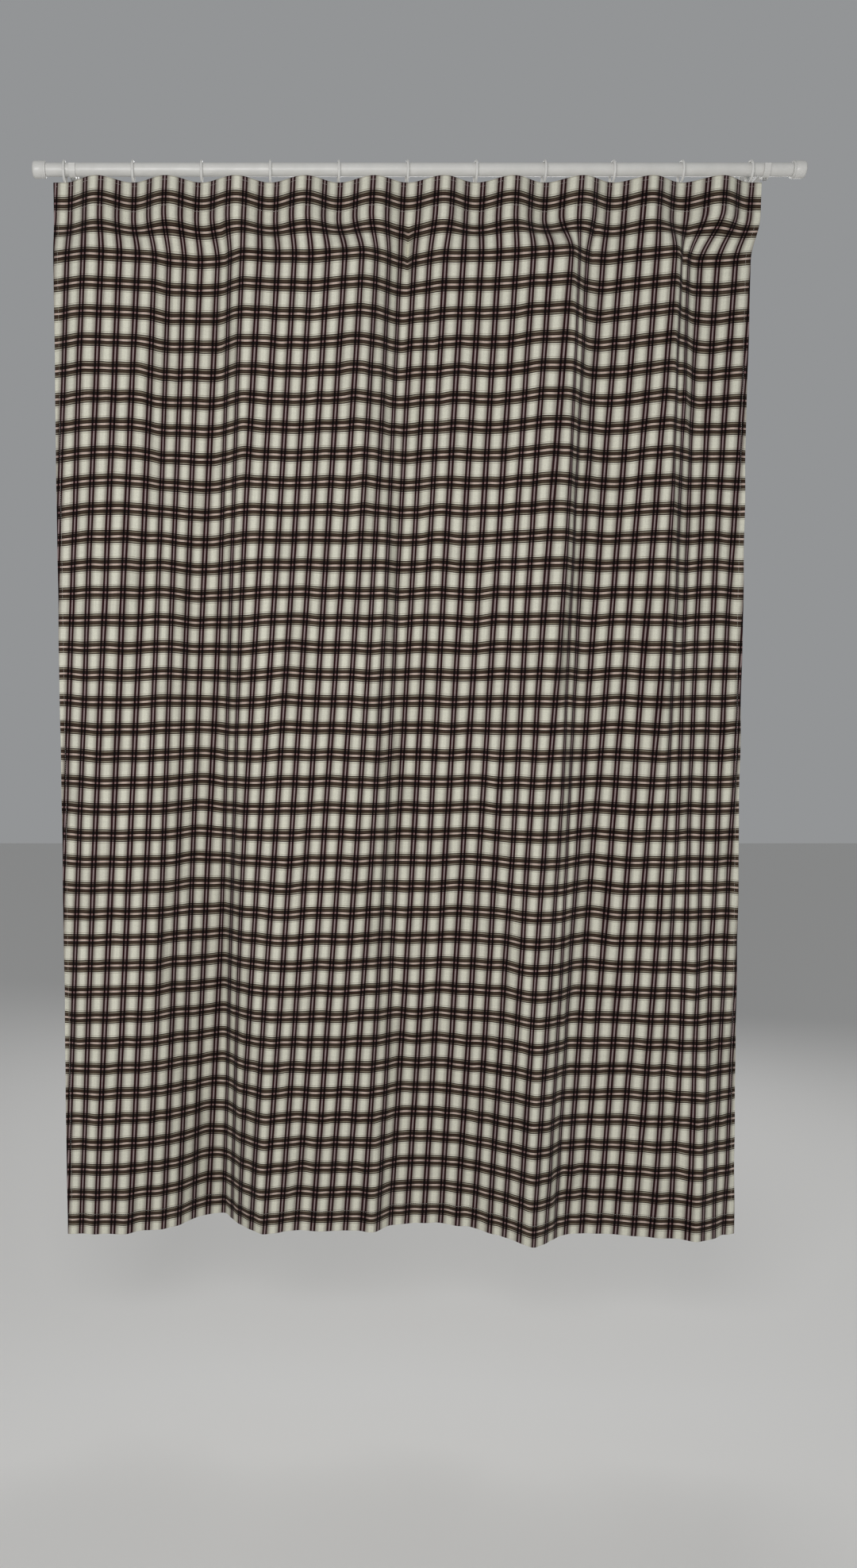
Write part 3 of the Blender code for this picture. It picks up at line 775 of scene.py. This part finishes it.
def mesh_of(name, vertices, faces, crisp=180):
    """A smooth mesh from vertices and faces, whose corners sharper than crisp degrees stay crisp."""
    mesh = bpy.data.meshes.new(name)
    mesh.from_pydata(vertices.tolist(), [], faces)
    mesh.shade_smooth()
    if crisp < 180:
        mesh.set_sharp_from_angle(angle=math.radians(crisp))
    return mesh


def add_piece(obj, body="root"):
    """Add one piece to the scene, and let it ride on a body."""
    bpy.context.scene.collection.objects.link(obj)
    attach(obj, body)


def place_object(name, data, material):
    """Add one piece that rides on the root body, with its material."""
    obj = bpy.data.objects.new(name, data)
    data.materials.append(material)
    add_piece(obj)
    return obj


def body_of_ring(index):
    """The first ring stays where it is, and every other one runs along the rod."""
    return "root" if index == 1 else f"runner_{index:02d}"


def hang_row(kind, node_kind, mesh, material, z):
    """One piece of a kind at every hook, each riding with its ring and standing for its node."""
    mesh.materials.append(material)
    for index, x in enumerate(HOOK_XS, start=1):
        obj = bpy.data.objects.new(f"{kind}_{index:02d}", mesh)
        obj.location = (x, ROD_CENTRE_Y, z)
        add_piece(obj, body_of_ring(index))
        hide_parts(f"{node_kind}_{index:02d}")


def gathers(obj):
    """Give a soft piece its own copy of its mesh."""
    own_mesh(obj)


def raised_by_side_hem(near_side, cloth):
    """How many layers cloth or tape lies behind the front one: 1, and more over a side hem."""
    step_start = cloth.side_hem + HEM_STEP_START
    step_end = cloth.side_hem + HEM_STEP_END
    return 1 + HEM_OVER_HEM * (1 - eased(near_side, step_start, step_end))


def hem_layers(near_side, turned_side, turned_end, settings):
    """How many fold heights the cloth lies behind its front layer, at hems and where two cross."""
    crossed = raised_by_side_hem(near_side, settings) - 0.8 * turned_side
    return turned_side * (1 - turned_end) + turned_end * crossed


def cloth_columns(settings):
    """Places across the cloth that get a column, from the inner edge of one side hem to the other."""
    flat = settings.flat_width
    turn = fold_steps(settings.fold_radius)
    behind = steps_between(-settings.side_hem, turn[0], 0.003)[:-1]
    beside = steps_between(turn[-1], 0.020, 0.002)[1:]
    edge = np.concatenate([behind, turn, beside])
    middle = steps_between(edge[-1], flat - edge[-1], 0.005)[1:-1]
    return np.concatenate([edge, middle, flat - edge[::-1]])


def cloth_rows(settings):
    """Places down the cloth that get a row, from the turned-down top edge to the hem's top edge."""
    turn = fold_steps(settings.fold_radius)
    body_top = 0.25
    foot_top = DROP - 0.08
    top = steps_between(-settings.top_turn, turn[0], 0.005)[:-1]
    heading = steps_between(turn[-1], HEADING_HEIGHT, 0.006)[1:]
    gather = steps_between(HEADING_HEIGHT, body_top, 0.008)[1:]
    body = steps_between(body_top, foot_top, 0.012)[1:]
    foot = steps_between(foot_top, DROP - turn[-1], 0.004)[1:-1]
    behind = steps_between(-settings.bottom_hem, turn[0], 0.004)[:-1]
    front = [top, turn, heading, gather, body, foot]
    return np.concatenate([*front, DROP - turn[::-1], DROP - behind[::-1]])


def make_cloth(settings):
    """The panel as one cut of cloth, its sides, its top and its hem turned behind it."""
    flat = settings.flat_width
    radius = settings.fold_radius
    columns = cloth_columns(settings)
    rows = cloth_rows(settings)
    across, near_side, turned_side = past_both_folds(columns, flat, radius)
    down, _, turned_end = past_both_folds(rows, DROP, radius)
    points, behind = cloth_surface(across, down)
    layers = hem_layers(near_side, turned_side, turned_end[:, None], settings)
    points = points + behind * (layers * 2 * radius)[..., None]
    places = np.stack(np.broadcast_arrays(columns[None, :], rows[:, None], 0.0), axis=-1)
    mesh = mesh_of("plaid_panel", *sheet_parts(points, settings.thickness), CLOTH_CRISP)
    both = np.concatenate([places.reshape(-1, 3), places.reshape(-1, 3)])
    attribute = mesh.attributes.new("cloth_place", "FLOAT_VECTOR", "POINT")
    attribute.data.foreach_set("vector", both.astype(np.float32).ravel())
    return mesh


# ---------------------------------------------------------------- tape and stitches


def tape_depth(across, cloth, tape):
    """Middle of the tape's band behind the cloth's middle, higher where it lies over a side hem."""
    near_side = np.minimum(across, cloth.flat_width - across)
    turned = raised_by_side_hem(near_side, cloth) * 2 * cloth.fold_radius
    return turned + cloth.thickness / 2 + SEWN_GAP + tape.thickness / 2


def pocket_depth(across, cloth, tape):
    """How far the pockets stand off the band: a little all along, and round the pin at each hook."""
    empty_depth = 0.00045
    pin_depth = 0.0026
    empty = empty_depth * np.sin(math.pi * across / tape.pocket_pitch) ** 2
    hook_places = (np.array(HOOK_XS) - HEADING_LEFT_X) / HUNG_WIDTH * cloth.flat_width
    near_hook = np.abs(across[:, None] - hook_places[None, :]).min(axis=1)
    return np.maximum(empty, pin_depth * (1 - eased(near_hook, 0.0046, 0.0090)))


def make_tape(cloth, tape):
    """The woven band and its two rows of pockets, as one mesh."""
    start = tape.short_of_edge
    end = cloth.flat_width - tape.short_of_edge
    band_across = steps_between(start, end, 0.004)
    band_down = steps_between(TAPE_BELOW_TOP, TAPE_BELOW_TOP + TAPE_HEIGHT, 0.005)
    points, behind = cloth_surface(band_across, band_down)
    points = points + behind * tape_depth(band_across, cloth, tape)[None, :, None]
    sheets = [sheet_parts(points, tape.thickness)]
    pocket_across = steps_between(start, end, tape.pocket_pitch / 6)
    for top in POCKETS_BELOW_TOP:
        pocket_down = steps_between(top, top + tape.pocket_height, 0.0017)
        points, behind = cloth_surface(pocket_across, pocket_down)
        depth = tape_depth(pocket_across, cloth, tape) + tape.thickness / 2 + POCKET_FLAT_STAND
        depth = depth + pocket_depth(pocket_across, cloth, tape)
        sheets.append(sheet_parts(points + behind * depth[None, :, None], POCKET_THICKNESS))
    return mesh_of("woven_tape", *joined_parts(sheets), CLOTH_CRISP)


def stitch_parts(middles, along, outward, stitch):
    """Vertices and faces of rounded stitches, each with its two ends sunk into the cloth."""
    middles, along, outward = (grid.reshape(-1, 1, 1, 3) for grid in (middles, along, outward))
    beside = np.cross(along, outward)
    places = np.array([-0.5, -0.3, 0.3, 0.5]).reshape(1, -1, 1, 1) * stitch.length
    radii = np.array([0.4, 1.0, 1.0, 0.4]).reshape(1, -1, 1, 1) * stitch.radius
    lifts = np.array([-0.9, 0.4, 0.4, -0.9]).reshape(1, -1, 1, 1) * stitch.radius
    turns = np.arange(STITCH_SIDES).reshape(1, 1, -1, 1) * 2 * math.pi / STITCH_SIDES
    vertices = middles + along * places + outward * (lifts + radii * np.cos(turns))
    vertices = (vertices + beside * radii * np.sin(turns)).reshape(-1, 3)
    rings = places.size
    quads, caps = tube_faces(rings, STITCH_SIDES)
    starts = np.arange(len(middles))[:, None, None] * rings * STITCH_SIDES
    sides = (starts + quads).reshape(-1, 4)
    ends = (starts + caps).reshape(-1, STITCH_SIDES)
    return vertices, sides.tolist() + ends.tolist()


def seam(across, down, front, back, stitch):
    """Stitches on the front and the back of the cloth along one level or upright seam."""
    points, behind = (grid.reshape(-1, 3) for grid in cloth_surface(across, down))
    along = np.gradient(points, axis=0)
    along /= np.linalg.norm(along, axis=1, keepdims=True)
    on_front = stitch_parts(points - behind * front, along, -behind, stitch)
    between = points[:-1] + (points[1:] - points[:-1]) / 2
    back = np.broadcast_to(back, (len(points),))[:-1, None]
    on_back = stitch_parts(between + behind[:-1] * back, along[:-1], behind[:-1], stitch)
    return [on_front, on_back]


def make_stitches(cloth, tape, stitch):
    """Every seam of the panel: the bottom hem, both side hems and the tape's two edges."""
    flat = cloth.flat_width
    front = cloth.thickness / 2
    back = 2 * cloth.fold_radius + cloth.thickness / 2
    level = steps_between(SEAM_END_INSET, flat - SEAM_END_INSET, stitch.pitch)
    near_side = np.minimum(level, flat - level)
    hem_back = raised_by_side_hem(near_side, cloth) * 2 * cloth.fold_radius + cloth.thickness / 2
    hem_seam = np.array([DROP - cloth.bottom_hem + stitch.from_edge])
    seams = seam(level, hem_seam, front, hem_back, stitch)
    inset = tape.short_of_edge + SEAM_END_INSET
    on_tape = steps_between(inset, flat - inset, stitch.pitch)
    tape_back = tape_depth(on_tape, cloth, tape) + tape.thickness / 2
    tape_foot = TAPE_BELOW_TOP + TAPE_HEIGHT
    for below_top in (TAPE_BELOW_TOP + TAPE_SEAM_INSET, tape_foot - TAPE_SEAM_INSET):
        seams += seam(on_tape, np.array([below_top]), front, tape_back, stitch)
    side_top = HEADING_HEIGHT + SIDE_SEAM_CLEAR
    side_foot = DROP - cloth.bottom_hem - SIDE_SEAM_CLEAR
    upright = steps_between(side_top, side_foot, stitch.pitch)
    inset = cloth.side_hem - stitch.from_edge
    for place in (inset, flat - inset):
        seams += seam(np.array([place]), upright, front, back, stitch)
    return mesh_of("seam_stitches", *joined_parts(seams))


# ---------------------------------------------------------------- rings and hooks


def swept_parts(path, radii, sides):
    """Vertices and faces of a round wire along a path in the Y-Z plane."""
    path = np.asarray(path, dtype=float)
    along = np.gradient(path, axis=0)
    along /= np.linalg.norm(along, axis=1, keepdims=True)
    beside = np.array([1.0, 0.0, 0.0])
    outward = np.cross(along, beside)
    turns = np.arange(sides) * 2 * math.pi / sides
    radii = np.broadcast_to(radii, (len(path),))[:, None, None]
    rings = path[:, None] + radii * np.cos(turns)[None, :, None] * outward[:, None]
    rings = rings + radii * np.sin(turns)[None, :, None] * beside
    quads, caps = tube_faces(len(path), sides)
    return rings.reshape(-1, 3), quads.tolist() + caps.tolist()


def arc(centre, radius, start, end, steps):
    """Points in the Y-Z plane on an arc, in degrees, its two ends included."""
    turns = np.radians(np.linspace(start, end, steps + 1))
    y = centre[0] + radius * np.cos(turns)
    z = centre[1] + radius * np.sin(turns)
    return np.stack([np.zeros_like(y), y, z], axis=1)


def torus_parts(centre, radius, wire, steps, sides, normal, ridge=0.0):
    """A round ring about a centre; a ridge is the thin line that the mould leaves round it."""
    turns = np.arange(steps) * 2 * math.pi / steps
    tips = np.arange(sides) * 2 * math.pi / sides
    wires = wire + ridge * (np.arange(sides) == 0)
    out = radius + wires[None, :] * np.cos(tips)[None, :]
    level = np.broadcast_to(wires * np.sin(tips), (steps, sides))
    first = out * np.cos(turns)[:, None]
    second = out * np.sin(turns)[:, None]
    axes = {"X": (level, first, second), "Y": (first, level, second)}
    points = np.stack(axes[normal], axis=-1).reshape(-1, 3) + np.array(centre)
    faces = tube_faces(steps, sides, closed=True)
    return points, (faces[:, ::-1] if normal == "Y" else faces).tolist()


def turned_parts(profile, sides, hollow):
    """A shape turned about the X axis: hollow like a tube, or closed by flat ends."""
    places, radii = np.array(profile).T
    turns = np.arange(sides) * 2 * math.pi / sides
    x = np.broadcast_to(places[:, None], (len(places), sides))
    y = radii[:, None] * np.cos(turns)
    z = radii[:, None] * np.sin(turns)
    vertices = np.stack([x, y, z], axis=-1).reshape(-1, 3)
    if hollow:
        return vertices, tube_faces(len(places), sides, closed=True).tolist()
    quads, caps = tube_faces(len(places), sides)
    return vertices, quads.tolist() + caps.tolist()


def rounded_corner(place, radius, rounding, steps=8):
    """Profile points of a rounded outer corner that ends at a place along the axis."""
    turns = np.radians(np.linspace(90, 0, steps + 1))
    along = place - rounding + rounding * np.cos(turns)
    out = radius - rounding + rounding * np.sin(turns)
    return list(zip(along, out))


def make_rod_mesh():
    """The painted tube, its ends deburred, from its left end."""
    end = ROD_HIGH[0] - ROD_LOW[0]
    inner = ROD_RADIUS - ROD_WALL
    profile = [(0.0, inner), (0.0, ROD_RADIUS - ROD_BURR), (ROD_BURR, ROD_RADIUS)]
    profile += [(end * share, ROD_RADIUS) for share in (0.25, 0.5, 0.75)]
    profile += [(end - ROD_BURR, ROD_RADIUS), (end, ROD_RADIUS - ROD_BURR), (end, inner)]
    return mesh_of("painted_rod", *turned_parts(profile, ROD_SIDES, True), ROD_CRISP)


def make_cap_mesh():
    """An end cap with a rolled lip, a groove, a rounded face and its spigot, pointing along X."""
    low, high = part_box("end_cap_right")
    radius = (high[2] - low[2]) / 2
    end = high[0] - ROD_HIGH[0]
    spigot = ROD_RADIUS - ROD_WALL - FIT_GAP
    groove = radius - CAP_GROOVE
    rolled = 0.3 * CAP_LIP
    profile = [(low[0] - ROD_HIGH[0], spigot), (FIT_GAP, spigot), (FIT_GAP, radius - CAP_LIP)]
    profile += [(FIT_GAP + rolled, radius - rolled), (FIT_GAP + CAP_LIP, radius)]
    profile += zip(CAP_GROOVE_PLACES, (radius, groove, groove, radius))
    profile += rounded_corner(end, radius, CAP_ROUNDING)
    profile += zip((end, end - CAP_DIMPLE_DEPTH), CAP_DIMPLE_RADII)
    return mesh_of("round_cap", *turned_parts(profile, ROD_SIDES, False), WIRE_CRISP)


def neck_parts(low, high, radii, sides):
    """The waisted neck between a ring and its eye."""
    heights = np.linspace(low, high, len(radii))
    path = np.stack([np.zeros_like(heights), np.zeros_like(heights), heights], axis=1)
    return swept_parts(path, np.array(radii), sides)


def make_ring_mesh():
    """One ring with its neck and its eye, about the ring's own centre."""
    wire = RING_WIRE / 2
    eye_centre = (0, 0, -EYE_BELOW_RING)
    ring = torus_parts((0, 0, 0), RING_RADIUS, wire, RING_STEPS, RING_SIDES, "X", RING_MOULD_LINE)
    eye = torus_parts(eye_centre, EYE_RADIUS, EYE_WIRE / 2, EYE_STEPS, EYE_SIDES, "Y")
    neck_top = -RING_RADIUS - NECK_SUNK_IN_RING
    neck_low = -EYE_BELOW_RING + EYE_RADIUS
    neck = neck_parts(neck_low, neck_top, NECK_RADII, NECK_SIDES)
    return mesh_of("round_ring", *joined_parts([ring, eye, neck]), WIRE_CRISP)


def make_hook_mesh():
    """One pin hook about the middle of its ring's eye: over it, down, and up behind the pockets."""
    arch_z = -EYE_INNER_DIAMETER / 2 + FIT_GAP + HOOK_WIRE / 2 - HOOK_ARCH_RADIUS
    turn_z = arch_z - HOOK_SHANK_LENGTH
    turn_y = -HOOK_ARCH_RADIUS - HOOK_TURN_RADIUS
    tip = np.array([[0.0, HOOK_ARCH_RADIUS, arch_z - HOOK_TIP_LENGTH]])
    pin = np.array([[0.0, turn_y - HOOK_TURN_RADIUS, turn_z + HOOK_PIN_LENGTH]])
    over = arc((0.0, arch_z), HOOK_ARCH_RADIUS, 0, 180, 18)
    under = arc((turn_y, turn_z), HOOK_TURN_RADIUS, 0, -180, 14)
    bends = np.concatenate([over, under])
    path = [tip + (bends[:1] - tip) * share for share in (0.0, 0.06, 0.14)]
    path += [bends]
    path += [bends[-1:] + (pin - bends[-1:]) * share for share in (0.3, 0.6, 0.88, 0.96, 1.0)]
    path = np.concatenate(path)
    radii = np.full(len(path), HOOK_WIRE / 2)
    for place, share in ((0, 0.45), (1, 0.85), (-2, 0.70), (-1, 0.25)):
        radii[place] *= share
    return mesh_of("pin_hook", *swept_parts(path, radii, HOOK_SIDES), WIRE_CRISP)


# ---------------------------------------------------------------- operators


class CURTAIN_OT_cloth(Operator):
    """Hang the plaid panel with its hems"""

    bl_idname = "curtain.cloth"
    bl_label = "Plaid panel"

    def execute(self, context):
        settings = context.scene.curtain_cloth
        mesh = make_cloth(settings)
        panel = place_object("plaid_panel", mesh, plaid_material(settings))
        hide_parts("curtain_cloth")
        gathers(panel)
        return {"FINISHED"}


class CURTAIN_OT_heading_tape(Operator):
    """Sew the woven tape with its pockets behind the panel's top edge"""

    bl_idname = "curtain.heading_tape"
    bl_label = "Heading tape"

    def execute(self, context):
        scene = context.scene
        mesh = make_tape(scene.curtain_cloth, scene.curtain_tape)
        tape = place_object("woven_tape", mesh, tape_material(scene.curtain_tape))
        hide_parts("heading_tape")
        gathers(tape)
        return {"FINISHED"}


class CURTAIN_OT_stitches(Operator):
    """Sew every hem and both edges of the tape"""

    bl_idname = "curtain.stitches"
    bl_label = "Stitches"

    def execute(self, context):
        scene = context.scene
        mesh = make_stitches(scene.curtain_cloth, scene.curtain_tape, scene.curtain_stitch)
        thread = thread_material(scene.curtain_stitch)
        gathers(place_object("seam_stitches", mesh, thread))
        return {"FINISHED"}


class CURTAIN_OT_rings(Operator):
    """Put the moulded rings on the rod"""

    bl_idname = "curtain.rings"
    bl_label = "Rings"

    def execute(self, context):
        plastic = plastic_material(context.scene.curtain_hardware)
        hang_row("round_ring", "ring", make_ring_mesh(), plastic, RING_CENTRE_Z)
        return {"FINISHED"}


class CURTAIN_OT_hooks(Operator):
    """Hang a bent wire hook from each ring into the tape"""

    bl_idname = "curtain.hooks"
    bl_label = "Hooks"

    def execute(self, context):
        zinc = zinc_material(context.scene.curtain_hardware)
        eye_z = RING_CENTRE_Z - EYE_BELOW_RING
        hang_row("pin_hook", "hook", make_hook_mesh(), zinc, eye_z)
        return {"FINISHED"}


class CURTAIN_OT_rod(Operator):
    """Put up the painted rod with a turned cap on each end"""

    bl_idname = "curtain.rod"
    bl_label = "Rod and caps"

    def execute(self, context):
        paint = paint_material(context.scene.curtain_hardware)
        rod = place_object("painted_rod", make_rod_mesh(), paint)
        rod.location = (ROD_LOW[0], ROD_CENTRE_Y, 0.0)
        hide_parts("rod_tube")
        cap_mesh = make_cap_mesh()
        cap_mesh.materials.append(paint)
        for side, x, turn in (("right", ROD_HIGH[0], 0.0), ("left", ROD_LOW[0], math.pi)):
            cap = bpy.data.objects.new(f"round_cap_{side}", cap_mesh)
            cap.location = (x, ROD_CENTRE_Y, 0.0)
            cap.rotation_euler = (0.0, 0.0, turn)
            add_piece(cap)
            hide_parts(f"end_cap_{side}")
        return {"FINISHED"}


class CURTAIN_OT_brackets(Operator):
    """Finish the brackets and the screws"""

    bl_idname = "curtain.brackets"
    bl_label = "Brackets and screws"

    def execute(self, context):
        settings = context.scene.curtain_hardware
        finishes = {"white_paint": paint_material(settings), "zinc": zinc_material(settings)}
        for part in frame["record"]["subparts"]:
            node = frame["nodes"][part["node"]]
            material = finishes.get(part["material_slot"])
            if material is not None and not node.hide_render:
                node.data.materials.clear()
                node.data.materials.append(material)
        return {"FINISHED"}


class CURTAIN_OT_declare_cloth(Operator):
    """Finish without doing anything"""

    bl_idname = "curtain.declare_cloth"
    bl_label = "Declare the cloth"

    def execute(self, context):
        return {"FINISHED"}


def add_camera(settings, fold_plane):
    """The camera, in front of the cloth and looking a little down."""
    data = bpy.data.cameras.new("camera")
    data.lens = settings.focal_length
    data.shift_x = settings.shift_x
    data.shift_y = settings.shift_y
    camera = bpy.data.objects.new("camera", data)
    across = HEADING_LEFT_X + settings.camera_across
    camera.location = (across, fold_plane - settings.distance, CLOTH_LOW[2] + settings.camera_height)
    camera.rotation_euler = (math.radians(90 - settings.pitch), 0.0, 0.0)
    bpy.context.scene.collection.objects.link(camera)
    bpy.context.scene.camera = camera


def add_floor(settings):
    """The plain matt floor, below the hem."""
    z = CLOTH_LOW[2] - settings.floor_below_hem
    corners = [(x * FLOOR_REACH, y * FLOOR_REACH, z) for x, y in ((-1, -1), (1, -1), (1, 1), (-1, 1))]
    mesh = bpy.data.meshes.new("floor")
    mesh.from_pydata(corners, [], [(0, 1, 2, 3)])
    material, _ = new_material("floor", Roughness=0.9, Base_Color=rgba(settings.floor))
    mesh.materials.append(material)
    floor = bpy.data.objects.new("floor", mesh)
    bpy.context.scene.collection.objects.link(floor)


def add_room_light():
    """Even pale light from all round."""
    world = bpy.data.worlds.new("studio")
    world.use_nodes = True
    background = world.node_tree.nodes["Background"]
    background.inputs["Color"].default_value = rgba(ROOM_LIGHT)
    background.inputs["Strength"].default_value = ROOM_LIGHT_STRENGTH
    bpy.context.scene.world = world


def add_lamps(middle):
    """Soft square lamps that face the middle of the cloth."""
    for name, offset, size, power in LAMPS:
        lamp = bpy.data.lights.new(name, "AREA")
        lamp.shape = "SQUARE"
        lamp.size = size
        lamp.energy = power
        obj = bpy.data.objects.new(name, lamp)
        obj.location = middle + Vector(offset)
        obj.rotation_euler = (middle - obj.location).to_track_quat("-Z", "Y").to_euler()
        bpy.context.scene.collection.objects.link(obj)


class CURTAIN_OT_stage(Operator):
    """Set the camera, the floor and the lights"""

    bl_idname = "curtain.stage"
    bl_label = "Stage"

    def execute(self, context):
        settings = context.scene.curtain_stage
        fold_plane = CLOTH_Y - FOLD_PLANE_FORWARD
        add_camera(settings, fold_plane)
        add_floor(settings)
        add_room_light()
        middle = (HEADING_LEFT_X + HUNG_WIDTH / 2, fold_plane, CLOTH_LOW[2] + DROP / 2)
        add_lamps(Vector(middle))
        context.scene.view_settings.view_transform = "Standard"
        return {"FINISHED"}


class CURTAIN_PT_panel(Panel):
    """Buttons and settings for each group of pieces."""

    bl_idname = "CURTAIN_PT_panel"
    bl_label = "Plaid curtain"
    bl_space_type = "VIEW_3D"
    bl_region_type = "UI"
    bl_category = "Curtain"

    def draw(self, context):
        for name, operators in PANEL_GROUPS:
            settings = getattr(context.scene, name)
            box = self.layout.box()
            for operator in operators:
                box.operator(operator.bl_idname)
            for field in settings.bl_rna.properties:
                if field.identifier not in ("rna_type", "name"):
                    box.prop(settings, field.identifier)


SETTINGS = (
    ("curtain_cloth", ClothSettings),
    ("curtain_tape", TapeSettings),
    ("curtain_stitch", StitchSettings),
    ("curtain_hardware", HardwareSettings),
    ("curtain_stage", StageSettings),
)
PANEL_GROUPS = (
    ("curtain_cloth", (CURTAIN_OT_cloth, CURTAIN_OT_declare_cloth)),
    ("curtain_tape", (CURTAIN_OT_heading_tape,)),
    ("curtain_stitch", (CURTAIN_OT_stitches,)),
    ("curtain_hardware", (CURTAIN_OT_rings, CURTAIN_OT_hooks, CURTAIN_OT_rod, CURTAIN_OT_brackets)),
    ("curtain_stage", (CURTAIN_OT_stage,)),
)
CLASSES = (
    *(settings for _, settings in SETTINGS),
    *(operator for _, operators in PANEL_GROUPS for operator in operators),
    CURTAIN_PT_panel,
)


def register():
    """Register the classes and the settings on the scene."""
    for item in CLASSES:
        bpy.utils.register_class(item)
    for name, group in SETTINGS:
        setattr(bpy.types.Scene, name, PointerProperty(type=group))


def unregister():
    """Take the settings and the classes away again."""
    for name, _ in SETTINGS:
        delattr(bpy.types.Scene, name)
    for item in reversed(CLASSES):
        bpy.utils.unregister_class(item)


def main():
    register()
    bpy.ops.curtain.stage()
    bpy.ops.curtain.cloth()
    bpy.ops.curtain.heading_tape()
    bpy.ops.curtain.stitches()
    bpy.ops.curtain.rings()
    bpy.ops.curtain.hooks()
    bpy.ops.curtain.rod()
    bpy.ops.curtain.brackets()
    bpy.ops.curtain.declare_cloth()


if __name__ == "__main__":
    main()
